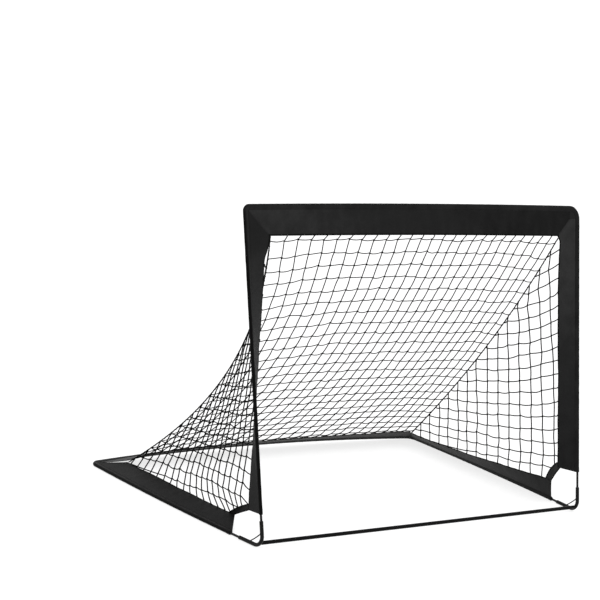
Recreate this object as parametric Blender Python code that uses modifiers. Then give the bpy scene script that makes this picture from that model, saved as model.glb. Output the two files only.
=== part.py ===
"""Pop-up soccer goal: a sprung rod loop in sewn sleeves, with a raked mouth, two open front corners on bent
elbows, a straight front ground bar and a three-panel net. Metres, +X right as seen from the front, +Y towards
the back of the goal, +Z up. The origin is the middle of the footprint, on the ground."""

import math

import bmesh
import bpy
from mathutils import Matrix, Vector

# ---------------------------------------------------------------- driving dimensions (metres, degrees)
BASE_HALF = 0.6055  # half the distance between the two front ground corners, on the rod axes
TOP_HALF = BASE_HALF * 1.055  # the posts splay outwards
REAR_HALF = BASE_HALF * 1.04  # the ground loop widens towards the back
POST_LENGTH = 0.914  # along the raked post, between the corner points
DEPTH = 0.788  # front corner to rear corner, on the rod axes
LEAN = math.radians(14.4)  # the mouth leans back
SIDE_BOW = 0.011  # the side ground rods bow outwards
REAR_BOW = 0.030  # the rear ground rod bows outwards
REAR_LIFT = 0.009  # and stands clear of the ground at its middle
CROSS_CROWN = 0.004  # the crossbar bows upwards

AXIS_Z = 0.00525  # rod axes above the ground at the corners
ROD_R = 0.003
BORE_R = 0.00345  # bores that take a rod
BEND_R = 0.025  # a corner's bend, on its axis
TOP_BEND = {-1: 0.014, 1: 0.034}  # the top corners', tighter at the left
ELBOW_R = AXIS_Z / math.cos(math.radians(15.0))  # twelve-sided, flat side down
ELBOW_POST_LEG = 0.072
ELBOW_SIDE_LEG = 0.094
ELBOW_TILT = math.radians(15.0)  # turns a flat side down, and ELBOW_LEVEL keeps it level on the bowed rod
ELBOW_LEVEL = math.radians(4.41)
CORNER_TUBE_R = 0.0039
CORNER_TUBE_LEG = 0.062
ROD_START = 0.037  # rod ends, from the corner point

SLEEVE_OUT = 0.0052
SLEEVE_IN = 0.0046
PATCH_OUT = 0.0052
PATCH_IN = 0.0048
BAND_WIDTH = 0.0798  # rod axis to free edge
BAND_THICK = 0.0018
HEM = {-1: 0.090, 1: 0.118}  # lower hems of the post sleeves, along the post
HEM_SLANT = {-1: 0.15, 1: 0.22}  # which rise towards the free edge
SIDE_FRONT = {-1: 0.130, 1: 0.119}  # front hems of the side ground sleeves, from the corner point
SIDE_SLANT = {-1: 1.02, 1: -0.30}  # cut back at the left, forward at the right
SLANT_FROM = 0.006  # a hem is square round the rod, and slants from here
FLAT_FROM = 0.034  # a wider band's extra cloth lies beyond this
SEAM_GAP = 0.0005
STRAP_POST = 0.019  # a strap's width at the post sleeve
STRAP_SIDE = 0.027  # and at the ground sleeve
STRAP_THICK = 0.0012

BAR_R = 0.0045
BAR_BORE = 0.0031
BAR_PLUG_R = 0.0027
BAR_PLUG_IN = 0.030
WIRE_R = 0.00125
WIRE_UP = 0.040
WIRE_BACK = 0.055

NET_THICK = 0.0020
NET_CLEAR = 0.0030  # CAD net to the band edges and to the seam cords
SEAM_R = 0.0014
SEAM_SAG = 0.080  # the net sags forwards and down between the crossbar and the rear rod
SEAM_SKEW = -0.12  # a little more in its upper half
SEAM_PULL = {-1: 0.060, 1: 0.078}  # and draws its side cords towards the middle
SEAM_DROP = {-1: 0.0, 1: 0.012}  # below the top corner's mitre

X, Y, Z = Vector((1, 0, 0)), Vector((0, 1, 0)), Vector((0, 0, 1))
MOUTH_UP = Vector((0, math.sin(LEAN), math.cos(LEAN)))
MOUTH_REAR = Vector((0, math.cos(LEAN), -math.sin(LEAN)))

# the footprint runs from the front of the elbows' bends to the back of the rear sleeve
_HALF = math.radians(90.0) / 2 - LEAN / 2
_BEND_Y = BEND_R / math.tan(_HALF)
Y_FRONT = _BEND_Y - BEND_R - ELBOW_R
Y_BACK = DEPTH + REAR_BOW + SLEEVE_OUT
ORIGIN = Vector((0, (Y_FRONT + Y_BACK) / 2, 0))


def smooth(t):
    t = min(1.0, max(0.0, t))
    return t * t * (3 - 2 * t)


# ---------------------------------------------------------------- the rod loop
class Line:
    """A rod's axis by distance from its first corner point, with the inward and the second cross direction."""

    def __init__(self, length, point, inward, second, angle, extra=lambda t: 0.0):
        self.length, self._point = length, point
        self._inward, self._second, self.angle = inward, second, angle
        self.extra = extra  # how much wider than BAND_WIDTH the band is

    def point(self, d):
        return self._point(d / self.length) - ORIGIN

    def tangent(self, d):
        return (self.point(d + 0.001) - self.point(d - 0.001)).normalized()

    def frame(self, d):
        t = self.tangent(d)
        inward = (self._inward - t * t.dot(self._inward)).normalized()
        second = (
            self._second
            - t * t.dot(self._second)
            - inward * inward.dot(self._second)
        ).normalized()
        return inward, second

    def tail(self, d):
        """The direction in which the band's tail leaves the rod."""
        inward, second = self.frame(d)
        a = self.angle(d / self.length)
        return inward * math.cos(a) + second * math.sin(a)

    def place(self, d, x, y):
        """x along the tail, y across its thickness."""
        inward, second = self.frame(d)
        a = self.angle(d / self.length)
        along = inward * math.cos(a) + second * math.sin(a)
        across = second * math.cos(a) - inward * math.sin(a)
        share = max(0.0, x - FLAT_FROM) / (BAND_WIDTH - FLAT_FROM)
        x += self.extra(d / self.length) * share
        return self.point(d) + along * x + across * y


def post_point(side):
    def at(t):
        x = side * (BASE_HALF + (TOP_HALF - BASE_HALF) * t)
        return Vector((x, 0, AXIS_Z)) + MOUTH_UP * (POST_LENGTH * t)

    return at


def side_point(side):
    def at(t):
        x = BASE_HALF + (REAR_HALF - BASE_HALF) * t + SIDE_BOW * 4 * t * (1 - t)
        return Vector((side * x, DEPTH * t, AXIS_Z))

    return at


def cross_point(t):
    u = 2 * t - 1
    up = POST_LENGTH + CROSS_CROWN * (1 - u * u)
    return Vector((TOP_HALF * u, 0, AXIS_Z)) + MOUTH_UP * up


def rear_point(t):
    u = 2 * t - 1
    return Vector(
        (REAR_HALF * u, DEPTH + REAR_BOW * (1 - u * u), AXIS_Z + REAR_LIFT * (1 - u * u))
    )


def left_post_angle(t):
    """The left post's band turns from the mouth's plane at the top to the side's plane at the foot."""
    mitre = BAND_WIDTH / POST_LENGTH
    return math.radians(
        84.0 * max(0.0, 1 - t) ** 0.92 * smooth((1 - t - mitre) / 0.08)
    )


def right_post_angle(t):
    mitre = BAND_WIDTH / POST_LENGTH
    return math.radians(4.0 * smooth((1 - t - mitre) / 0.2))


def left_side_angle(t):
    return math.radians(15.0 - 2.5 * t**4)


def right_side_angle(t):
    """The right ground band stands up steeply at its front and lies lower towards the back."""
    return math.radians(29.5 + 40.5 * max(0.0, 1 - t) ** 2.08 + 6.0 * t**6)


def rear_angle(t):
    return math.radians(22.5 + 12.5 * t**3 - 10.0 * math.exp(-((t / 0.09) ** 2)))


def cross_extra(t):
    """The crossbar's band widens towards the right."""
    return 0.0016 + 0.0058 * t


POSTS = {
    s: Line(
        POST_LENGTH,
        post_point(s),
        X * -s,
        MOUTH_REAR,
        left_post_angle if s < 0 else right_post_angle,
    )
    for s in (-1, 1)
}
SIDES = {
    s: Line(
        DEPTH,
        side_point(s),
        X * -s,
        Z,
        left_side_angle if s < 0 else right_side_angle,
    )
    for s in (-1, 1)
}
CROSS = Line(
    2 * TOP_HALF, cross_point, -MOUTH_UP, MOUTH_REAR, lambda t: 0.0, cross_extra
)
REAR = Line(2 * REAR_HALF, rear_point, -Y, Z, rear_angle)


class Corner:
    """A rounded corner between two lines: a and b point away from it along each line."""

    def __init__(
        self, first, at_first, sign_first, second, at_second, sign_second, radius=BEND_R
    ):
        self.radius = radius
        self.lines = ((first, at_first, sign_first), (second, at_second, sign_second))
        self.apex = first.point(at_first)
        self.a = first.tangent(at_first) * sign_first
        self.b = second.tangent(at_second) * sign_second
        self.half = math.acos(self.a.dot(self.b)) / 2
        self.bisector = (self.a + self.b).normalized()
        self.centre = self.apex + self.bisector * (radius / math.sin(self.half))
        self.reach = radius / math.tan(self.half)
        self.mitre = (self.a - self.b).normalized()  # positive on the first line's side

    def on(self, which, d):
        line, at, sign = self.lines[which]
        return line.point(at + sign * d)

    def arc(self, steps, inset=0.0):
        """Points of the bend from the first line's tangent point to the second's."""
        turn = math.pi - 2 * self.half - inset
        out = -self.bisector
        side = self.mitre
        points = []
        for i in range(steps + 1):
            g = turn * (0.5 - i / steps)
            points.append(
                self.centre + (out * math.cos(g) + side * math.sin(g)) * self.radius
            )
        return points

    def route(self, leg_first, leg_second, steps, per_leg):
        points = [
            self.on(0, leg_first + (self.reach - leg_first) * i / per_leg)
            for i in range(per_leg)
        ]
        points += self.arc(steps)
        points += [
            self.on(1, self.reach + (leg_second - self.reach) * (i + 1) / per_leg)
            for i in range(per_leg)
        ]
        return points


FRONT = {s: Corner(POSTS[s], 0.0, 1, SIDES[s], 0.0, 1) for s in (-1, 1)}
TOP = {
    -1: Corner(POSTS[-1], POST_LENGTH, -1, CROSS, 0.0, 1, TOP_BEND[-1]),
    1: Corner(POSTS[1], POST_LENGTH, -1, CROSS, 2 * TOP_HALF, -1, TOP_BEND[1]),
}
BACK = {
    -1: Corner(SIDES[-1], DEPTH, -1, REAR, 0.0, 1),
    1: Corner(SIDES[1], DEPTH, -1, REAR, 2 * REAR_HALF, -1),
}
HINGE = Vector((0, FRONT[1].centre.y, FRONT[1].centre.z))
NAMES = {-1: "left", 1: "right"}


# ---------------------------------------------------------------- scene helpers
def clear_scene():
    for ob in list(bpy.data.objects):
        bpy.data.objects.remove(ob, do_unlink=True)
    for group in list(bpy.data.collections):
        bpy.data.collections.remove(group)


def material(name, color, roughness, metallic=0.0):
    made = bpy.data.materials.new(name)
    made.use_nodes = True
    shader = made.node_tree.nodes["Principled BSDF"]
    shader.inputs["Base Color"].default_value = (*color, 1)
    shader.inputs["Roughness"].default_value = roughness
    shader.inputs["Metallic"].default_value = metallic
    made.diffuse_color = (*color, 1)
    return made


def add(name, data, origin, parent, mat):
    """Puts data, whose points are counted from origin, into the goal's collection."""
    ob = bpy.data.objects.new(name, data)
    data.materials.append(mat)
    PARTS.objects.link(ob)
    ob.parent = parent
    ob.location = origin - parent.location
    return ob


def curve_of(name, points, origin, radius, resolution, caps, tilt=0.0):
    data = bpy.data.curves.new(name, "CURVE")
    data.dimensions = "3D"
    data.bevel_depth = radius
    data.bevel_resolution = resolution
    data.use_fill_caps = caps
    data.resolution_u = 1
    spline = data.splines.new("POLY")
    spline.points.add(len(points) - 1)
    for point, at in zip(spline.points, points):
        point.co = (*(at - origin), 1)
        point.tilt = tilt
    spline.use_smooth = True
    return data


def rod(name, points, radius, parent, mat, resolution=2):
    """A solid round rod, wire or cord along points."""
    origin = (points[0] + points[-1]) / 2
    data = curve_of(name, points, origin, radius, resolution, True)
    return add(name, data, origin, parent, mat)


def tube(name, points, radius, bore, parent, mat, origin=None, resolution=2, tilt=0.0):
    """An open-ended tube: the outer skin is a bevelled curve, made a mesh and given its wall."""
    origin = origin or (points[0] + points[-1]) / 2
    data = curve_of(name + "_axis", points, origin, radius, resolution, False, tilt)
    guide = bpy.data.objects.new(name + "_axis", data)
    PARTS.objects.link(guide)
    bpy.context.view_layer.update()
    graph = bpy.context.evaluated_depsgraph_get()
    skin = bpy.data.meshes.new_from_object(guide.evaluated_get(graph))
    bpy.data.objects.remove(guide, do_unlink=True)
    skin.name = name
    work = bmesh.new()
    work.from_mesh(skin)
    bmesh.ops.remove_doubles(work, verts=work.verts, dist=0.00001)
    work.to_mesh(skin)
    work.free()
    skin.materials.clear()
    ob = add(name, skin, origin, parent, mat)
    skin.shade_smooth()
    wall = ob.modifiers.new("wall", "SOLIDIFY")
    wall.thickness = radius - bore
    wall.offset = -1
    wall.use_even_offset = True
    return ob


def finish_mesh(name, work, origin, parent, mat, sharp=35.0):
    bmesh.ops.recalc_face_normals(work, faces=work.faces)
    bmesh.ops.translate(work, verts=work.verts, vec=-origin)
    mesh = bpy.data.meshes.new(name)
    work.to_mesh(mesh)
    work.free()
    mesh.shade_smooth()
    mesh.set_sharp_from_angle(angle=math.radians(sharp))
    return add(name, mesh, origin, parent, mat)


# ---------------------------------------------------------------- sewn bands
def band_section(sides, outer, inner, width, knees):
    """A rod sleeve with its flat tail: the outer outline, and the hole's outline with one point for each of the
    first `sides` points of the outer one."""
    root = math.asin(BAND_THICK / 2 / outer)
    step = (2 * math.pi - 2 * root) / (sides - 1)
    ring = [root + i * step for i in range(sides)]
    outline = [(outer * math.cos(a), outer * math.sin(a)) for a in ring]
    hole = [(inner * math.cos(a), inner * math.sin(a)) for a in ring]
    half = BAND_THICK / 2
    low = [(x, -half) for x in (*knees, width)]
    return outline + low + [(x, half) for x, _ in low[::-1]], hole


def loft_band(name, sides, rings, holes, parent, mat, origin):
    """Joins rings of outline points and of hole points, with a wall between them at both ends."""
    work = bmesh.new()
    skins = [[work.verts.new(p) for p in ring] for ring in rings]
    bores = [[work.verts.new(p) for p in ring] for ring in holes]
    for loops in (skins, bores):
        count = len(loops[0])
        for one, two in zip(loops, loops[1:]):
            for i in range(count):
                j = (i + 1) % count
                work.faces.new((one[i], one[j], two[j], two[i]))
    for skin, bore in ((skins[0], bores[0]), (skins[-1], bores[-1])):
        for i in range(sides):
            j = (i + 1) % sides
            work.faces.new((skin[i], skin[j], bore[j], bore[i]))
        tail = skin[sides:]
        half = len(tail) // 2
        low, high = [skin[sides - 1], *tail[:half]], [skin[0], *tail[: half - 1 : -1]]
        for i in range(half):
            work.faces.new((low[i], low[i + 1], high[i + 1], high[i]))
    return finish_mesh(name, work, origin, parent, mat)


def hem_at(hem, x):
    """Where a hem, given by its distance at the rod and its slant, crosses the band at x."""
    at, slant = hem
    return at + slant * max(0.0, x - SLANT_FROM)


def band(name, line, start, end, stations, parent, mat):
    """A sleeve along a line. start and end are each a hem or a corner, for a mitre."""
    sides = 10
    knees = sorted({stop.radius for stop in (start, end) if isinstance(stop, Corner)})
    outline, hole = band_section(sides, SLEEVE_OUT, SLEEVE_IN, BAND_WIDTH, knees)

    def limit(x, y, stop, sign):
        """Where the thread of the band at (x, y) ends."""
        if not isinstance(stop, Corner):
            return hem_at(stop, x)
        which = 0 if stop.lines[0][0] is line else 1
        at = stop.lines[which][1]
        normal = stop.mitre * (1 if which == 0 else -1)
        nearest = at + sign * (stop.reach + SEAM_GAP)
        d = nearest
        for _ in range(12):
            off = (line.place(d, x, y) - stop.apex).dot(normal) - SEAM_GAP
            step = line.tangent(d).dot(normal)
            d -= off / step
        return max(nearest, d) if sign > 0 else min(nearest, d)

    def rings(points):
        ends = [(limit(x, y, start, 1), limit(x, y, end, -1)) for x, y in points]
        made = []
        for k in range(stations):
            t = k / (stations - 1)
            made.append(
                [
                    line.place(lo + (hi - lo) * t, x, y)
                    for (x, y), (lo, hi) in zip(points, ends)
                ]
            )
        return made

    middle = line.point(line.length / 2)
    return loft_band(name, sides, rings(outline), rings(hole), parent, mat, middle)


def corner_patch(name, corner, parent, mat):
    """The rounded end of a mitre: a sleeve round the bend, with a tail that narrows towards the bend's centre."""
    sides, steps = 12, 5
    first, at, sign = corner.lines[0]
    second, at_second, sign_second = corner.lines[1]
    normal = corner.a.cross(corner.b).normalized()
    rise_first = first.tail(at + sign * corner.reach).dot(normal)
    rise_second = second.tail(at_second + sign_second * corner.reach).dot(normal)
    angle = math.asin((rise_first + rise_second) / 2)
    width = (corner.radius - 0.0015) / math.cos(angle)
    outline, hole = band_section(sides, PATCH_OUT, PATCH_IN, width, [width * 0.6])
    inset = 2 * SEAM_GAP / corner.radius
    points = corner.arc(steps, inset)

    def ring(point, section):
        inward = (corner.centre - point).normalized()
        along = inward * math.cos(angle) + normal * math.sin(angle)
        across = normal * math.cos(angle) - inward * math.sin(angle)
        return [point + along * x + across * y for x, y in section]

    skins = [ring(p, outline) for p in points]
    bores = [ring(p, hole) for p in points]
    return loft_band(name, sides, skins, bores, parent, mat, corner.centre.copy())


# ---------------------------------------------------------------- cloth and net panels
def panel(name, rows, thickness, parent, mat, origin):
    """A curved panel through rows of points, with its thickness."""
    work = bmesh.new()
    grid = [[work.verts.new(p) for p in row] for row in rows]
    for low, high in zip(grid, grid[1:]):
        for i in range(len(low) - 1):
            work.faces.new((low[i], low[i + 1], high[i + 1], high[i]))
    ob = finish_mesh(name, work, origin, parent, mat, 60.0)
    wall = ob.modifiers.new("thickness", "SOLIDIFY")
    wall.thickness = thickness
    wall.offset = 0
    return ob


def along(points, t):
    """The point a share t of the way along a polyline."""
    lengths = [0.0]
    for a, b in zip(points, points[1:]):
        lengths.append(lengths[-1] + (b - a).length)
    want = t * lengths[-1]
    for a, b, la, lb in zip(points, points[1:], lengths, lengths[1:]):
        if want <= lb or lb == lengths[-1]:
            return a.lerp(b, 0.0 if lb == la else min(1.0, (want - la) / (lb - la)))
    return points[-1]


def coons(low, high, first, last, across, up):
    """Rows of points between four edges: low and high run across, first and last run up."""
    rows = []
    for j in range(up + 1):
        v = j / up
        row = []
        for i in range(across + 1):
            u = i / across
            ruled = along(low, u).lerp(along(high, u), v)
            sides = along(first, v).lerp(along(last, v), u)
            corners = low[0].lerp(low[-1], u).lerp(high[0].lerp(high[-1], u), v)
            row.append(ruled + sides - corners)
        rows.append(row)
    return rows


def free_edge(line, d, clear=0.0):
    """A point on a band's free edge, or clear of it by a little."""
    return line.place(d, BAND_WIDTH + clear, 0.0)


def mitre_point(corner, which, clear):
    """Where a line's free edge meets the corner's mitre."""
    line, at, sign = corner.lines[which]
    width = BAND_WIDTH + line.extra(at / line.length) + clear
    return at + sign * width / math.tan(corner.half)


def seam_route(side, count):
    """The cord between the back panel and a side panel, from the top corner to the rear corner, sagging inwards."""
    top = TOP[side]
    d = mitre_point(top, 0, 0.010) - SEAM_DROP[side]
    start = free_edge(POSTS[side], d, 0.010) + MOUTH_REAR * 0.006
    rear = BACK[side]
    d = mitre_point(rear, 0, 0.008)
    end = free_edge(SIDES[side], d, 0.008) + Z * 0.004 - X * (side * 0.006)
    chord = end - start
    sag = chord.cross(X)
    sag = (sag if sag.y < 0 else -sag).normalized()
    points = []
    for i in range(count):
        t = i / (count - 1)
        bulge = 4 * t * (1 - t)
        down = sag * (SEAM_SAG * bulge * (1 + SEAM_SKEW * (2 * t - 1)))
        inward = X * (-side * SEAM_PULL[side] * bulge)
        points.append(start + chord * t + down + inward)
    return points


def strap_feet(side):
    """Where the hems of the post sleeve and of the ground sleeve meet their free edges."""
    return (
        hem_at((HEM[side], HEM_SLANT[side]), BAND_WIDTH),
        hem_at((SIDE_FRONT[side], SIDE_SLANT[side]), BAND_WIDTH),
    )


def strap_edges(side, count):
    """The two long edges of the webbing from the post sleeve's hem corner to the ground sleeve's front corner."""
    clear = 0.0012
    post, ground_foot = strap_feet(side)
    edges = []
    for up, back, bow in ((0.0, 0.0, 0.003), (STRAP_POST, STRAP_SIDE, 0.007)):
        a = free_edge(POSTS[side], post + up, clear)
        b = free_edge(SIDES[side], ground_foot + back, clear)
        pull = (FRONT[side].apex - (a + b) / 2).normalized() * -bow
        edges.append(
            [
                a.lerp(b, i / (count - 1))
                + pull * (4 * (i / (count - 1)) * (1 - i / (count - 1)))
                for i in range(count)
            ]
        )
    return edges


def net_edge_front(side):
    """From the ground sleeve's front corner, along the strap, and up the post sleeve's free edge."""
    inner = strap_edges(side, 6)[1]
    outer = strap_edges(side, 6)[0]
    points = [
        a + (a - b).normalized() * NET_CLEAR for a, b in zip(inner[::-1], outer[::-1])
    ][1:-1]
    top = mitre_point(TOP[side], 0, 0.016) - SEAM_DROP[side]
    low = strap_feet(side)[0] + STRAP_POST + 0.008
    points += [
        free_edge(POSTS[side], low + (top - low) * i / 10, NET_CLEAR) for i in range(11)
    ]
    return points


def net_edge_ground(side):
    """The ground sleeve's free edge, front to back."""
    low = strap_feet(side)[1] + STRAP_SIDE + 0.006
    high = mitre_point(BACK[side], 0, 0.016)
    first = net_edge_front(side)[0]
    return [first] + [
        free_edge(SIDES[side], low + (high - low) * i / 10, NET_CLEAR)
        for i in range(1, 11)
    ]


# ---------------------------------------------------------------- build
clear_scene()
PARTS = bpy.data.collections.new("popup_soccer_goal")
bpy.context.scene.collection.children.link(PARTS)

webbing = material("band_fabric", (0.016, 0.016, 0.018), 0.62)
netting = material("net_cord", (0.020, 0.020, 0.022), 0.75)
elbow_black = material("elbow_black", (0.012, 0.012, 0.013), 0.38)
wire_steel = material("wire_steel", (0.10, 0.10, 0.105), 0.42, 0.85)
glass_rod = material("glass_fibre_rod", (0.030, 0.030, 0.032), 0.45)
bar_black = material("bar_black", (0.014, 0.014, 0.015), 0.40)

ground = bpy.data.objects.new("ground_frame", None)
ground.empty_display_size = 0.05
PARTS.objects.link(ground)
mouth = bpy.data.objects.new("mouth_frame", None)
mouth.empty_display_size = 0.05
mouth.location = HINGE
PARTS.objects.link(mouth)

# rods
rod(
    "crossbar_rod",
    [CROSS.point(ROD_START + (CROSS.length - 2 * ROD_START) * i / 6) for i in range(7)],
    ROD_R,
    mouth,
    glass_rod,
)
rod(
    "rear_rod",
    [REAR.point(ROD_START + (REAR.length - 2 * ROD_START) * i / 12) for i in range(13)],
    ROD_R,
    ground,
    glass_rod,
)
for s, word in NAMES.items():
    rod(
        f"post_rod_{word}",
        [POSTS[s].point(ROD_START), POSTS[s].point(POST_LENGTH - ROD_START)],
        ROD_R,
        mouth,
        glass_rod,
    )
    rod(
        f"side_rod_{word}",
        [
            SIDES[s].point(ROD_START + (DEPTH - 2 * ROD_START) * i / 9)
            for i in range(10)
        ],
        ROD_R,
        ground,
        glass_rod,
    )

# bent corner pieces
for s, word in NAMES.items():
    tube(
        f"top_corner_tube_{word}",
        TOP[s].route(CORNER_TUBE_LEG, CORNER_TUBE_LEG, 6, 1),
        CORNER_TUBE_R,
        BORE_R,
        mouth,
        elbow_black,
        TOP[s].centre,
    )
    tube(
        f"rear_corner_tube_{word}",
        BACK[s].route(CORNER_TUBE_LEG, CORNER_TUBE_LEG, 6, 1),
        CORNER_TUBE_R,
        BORE_R,
        ground,
        elbow_black,
        BACK[s].centre,
    )
    tube(
        f"front_elbow_{word}",
        FRONT[s].route(ELBOW_POST_LEG, ELBOW_SIDE_LEG, 8, 2),
        ELBOW_R,
        BORE_R,
        ground,
        elbow_black,
        FRONT[s].centre,
        4,
        ELBOW_TILT - s * ELBOW_LEVEL,
    )
    up, back = FRONT[s].on(0, WIRE_UP), FRONT[s].on(1, WIRE_BACK)
    run = (back - up).normalized()
    lift = (ELBOW_R + WIRE_R + 0.0004) / math.sin(run.angle(-FRONT[s].a))
    drop = (ELBOW_R + WIRE_R + 0.0004) / math.sin(run.angle(FRONT[s].b))
    rod(
        f"restraint_wire_{word}",
        [up + run * lift, (up + back) / 2, back - run * drop],
        WIRE_R,
        ground,
        wire_steel,
    )

# front bar, with the plugs that carry it on the elbows
bar_at = FRONT[1].arc(2)[1]
bar_end = bar_at.x - ELBOW_R - 0.0006
level = Vector((0, bar_at.y, bar_at.z))
tube(
    "front_bar",
    [level - X * bar_end, level, level + X * bar_end],
    BAR_R,
    BAR_BORE,
    ground,
    bar_black,
    resolution=4,
)
for s, word in NAMES.items():
    rod(
        f"bar_plug_{word}",
        [
            level + X * (s * (bar_end + 0.0002)),
            level + X * (s * (bar_end - BAR_PLUG_IN)),
        ],
        BAR_PLUG_R,
        ground,
        elbow_black,
    )

# sleeves
band("crossbar_sleeve", CROSS, TOP[-1], TOP[1], 9, mouth, webbing)
band("rear_sleeve", REAR, BACK[-1], BACK[1], 14, ground, webbing)
for s, word in NAMES.items():
    count = 13 if s < 0 else 7
    hem, front = (HEM[s], HEM_SLANT[s]), (SIDE_FRONT[s], SIDE_SLANT[s])
    band(f"post_sleeve_{word}", POSTS[s], hem, TOP[s], count, mouth, webbing)
    band(f"side_sleeve_{word}", SIDES[s], front, BACK[s], 10, ground, webbing)
    corner_patch(f"top_corner_patch_{word}", TOP[s], mouth, webbing)
    corner_patch(f"rear_corner_patch_{word}", BACK[s], ground, webbing)
    outer, inner = strap_edges(s, 7)
    panel(
        f"corner_strap_{word}",
        [outer, inner],
        STRAP_THICK,
        ground,
        webbing,
        (outer[3] + inner[3]) / 2,
    )

# net
for s, word in NAMES.items():
    rod(f"net_seam_cord_{word}", seam_route(s, 13), SEAM_R, ground, netting)

top_row = []
low_row = []
for i in range(13):
    lo, hi = mitre_point(TOP[-1], 1, 0.016), mitre_point(TOP[1], 1, 0.016)
    top_row.append(free_edge(CROSS, lo + (hi - lo) * i / 12, NET_CLEAR))
    lo, hi = mitre_point(BACK[-1], 1, 0.018), mitre_point(BACK[1], 1, 0.018)
    low_row.append(free_edge(REAR, lo + (hi - lo) * i / 12, NET_CLEAR))


def beside_seam(side, toward, drop):
    """The seam's route, moved off the cord by the net's clearance."""
    return [p + toward * (NET_CLEAR + SEAM_R) + drop for p in seam_route(side, 25)]


def fit_between(points, start, end):
    """The same curve, moved so that its ends fall on start and end."""
    shift_a, shift_b = start - points[0], end - points[-1]
    count = len(points) - 1
    return [
        p + shift_a * ((1 - i / count) ** 6) + shift_b * ((i / count) ** 6)
        for i, p in enumerate(points)
    ]


left_up = fit_between(
    beside_seam(-1, X, Vector())[::-1], low_row[0], top_row[0]
)
right_up = fit_between(
    beside_seam(1, -X, Vector())[::-1], low_row[-1], top_row[-1]
)
panel(
    "net_back_panel",
    coons(low_row, top_row, left_up, right_up, 12, 10),
    NET_THICK,
    ground,
    netting,
    (low_row[6] + top_row[6]) / 2,
)
for s, word in NAMES.items():
    front, floor = net_edge_front(s), net_edge_ground(s)
    seam = beside_seam(s, X * s * 0.6 - Y * 0.8, Vector())
    seam = [p for i, p in enumerate(seam) if i >= 1][::-1]
    seam = fit_between(seam, floor[-1], seam[-1])
    panel(
        f"net_side_panel_{word}",
        coons(floor, [front[-1], seam[-1]], front, seam, 9, 11),
        NET_THICK,
        ground,
        netting,
        (front[0] + seam[-1]) / 2,
    )
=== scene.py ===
import math

import bpy
import numpy as np
from mathutils import Matrix, Vector
from mathutils.kdtree import KDTree


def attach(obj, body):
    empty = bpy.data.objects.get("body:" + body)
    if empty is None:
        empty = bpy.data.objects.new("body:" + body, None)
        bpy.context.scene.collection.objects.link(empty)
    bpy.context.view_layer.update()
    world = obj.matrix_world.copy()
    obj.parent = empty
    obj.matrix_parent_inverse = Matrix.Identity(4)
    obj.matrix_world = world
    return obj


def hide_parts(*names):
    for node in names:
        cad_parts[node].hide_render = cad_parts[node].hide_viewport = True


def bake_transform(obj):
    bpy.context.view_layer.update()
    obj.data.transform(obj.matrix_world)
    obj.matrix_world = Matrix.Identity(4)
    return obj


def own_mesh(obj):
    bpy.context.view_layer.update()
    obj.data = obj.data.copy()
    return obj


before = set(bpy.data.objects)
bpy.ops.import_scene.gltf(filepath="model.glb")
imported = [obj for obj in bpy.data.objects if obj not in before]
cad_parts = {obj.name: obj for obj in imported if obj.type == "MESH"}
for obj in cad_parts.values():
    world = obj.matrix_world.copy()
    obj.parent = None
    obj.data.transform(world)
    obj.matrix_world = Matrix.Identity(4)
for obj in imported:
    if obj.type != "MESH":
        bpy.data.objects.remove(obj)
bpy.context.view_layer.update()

# ---------------------------------------------------------------- the frame's own dimensions (metres)
BASE_HALF = 0.6055
TOP_HALF = BASE_HALF * 1.055
REAR_HALF = BASE_HALF * 1.04
POST_LENGTH = 0.914
DEPTH = 0.788
LEAN = math.radians(14.4)
SIDE_BOW = 0.011
REAR_BOW = 0.030
REAR_LIFT = 0.009
CROSS_CROWN = 0.004
AXIS_Z = 0.00525
ROD_R = 0.003
BORE_R = 0.00345
BEND_R = 0.025
TOP_BEND = {-1: 0.014, 1: 0.034}
ELBOW_R = AXIS_Z / math.cos(math.radians(15.0))
ELBOW_POST_LEG = 0.072
ELBOW_SIDE_LEG = 0.094
ROD_START = 0.037
SLEEVE_OUT = 0.0052
SLEEVE_IN = 0.0046
BAND_WIDTH = 0.0798
HEM = {-1: 0.090, 1: 0.118}
HEM_SLANT = {-1: 0.07, 1: 0.22}
SIDE_FRONT = {-1: 0.130, 1: 0.119}
SIDE_SLANT = {-1: 1.02, 1: -0.30}
SLANT_FROM = 0.006
FLAT_FROM = 0.034
STRAP_POST = 0.019
STRAP_SIDE = 0.027
BAR_R = 0.0045
BAR_BORE = 0.0031
WIRE_R = 0.00125
WIRE_UP = 0.040
WIRE_BACK = 0.055
SEAM_SAG = 0.080
SEAM_SKEW = -0.12
SEAM_PULL = {-1: 0.060, 1: 0.078}
SEAM_DROP = {-1: -0.0016, 1: 0.0046}

# what the sewing and knotting add
CHANNEL_SEAM = 0.0110  # stitched line of the rod channel, from the rod's axis
TAPE_EDGE = 0.0756  # where the binding tape of the free edge begins
NET_SAG = 0.083
MESH = 0.0412
STRAND_R = 0.00155
SIDE_STRAND_R = 0.00188  # the side panels' twine lies looser and looks thicker
KNOT_R = 0.0029
CORD_R = 0.0018
FOLD = math.radians(70.0)
TAIL_KEEP = 0.10  # the post bands flatten into the mouth's plane as it folds
GROUND_KEEP = 0.78  # and press the ground bands down

AX = np.array([1.0, 0.0, 0.0])
AY = np.array([0.0, 1.0, 0.0])
AZ = np.array([0.0, 0.0, 1.0])
MOUTH_UP = np.array([0.0, math.sin(LEAN), math.cos(LEAN)])
MOUTH_REAR = np.array([0.0, math.cos(LEAN), -math.sin(LEAN)])
_HALF = math.radians(45.0) - LEAN / 2
Y_FRONT = BEND_R / math.tan(_HALF) - BEND_R - ELBOW_R
Y_BACK = DEPTH + REAR_BOW + SLEEVE_OUT
ORIGIN = np.array([0.0, (Y_FRONT + Y_BACK) / 2, 0.0])
NAMES = {-1: "left", 1: "right"}
rng = np.random.default_rng(20240731)


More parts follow.
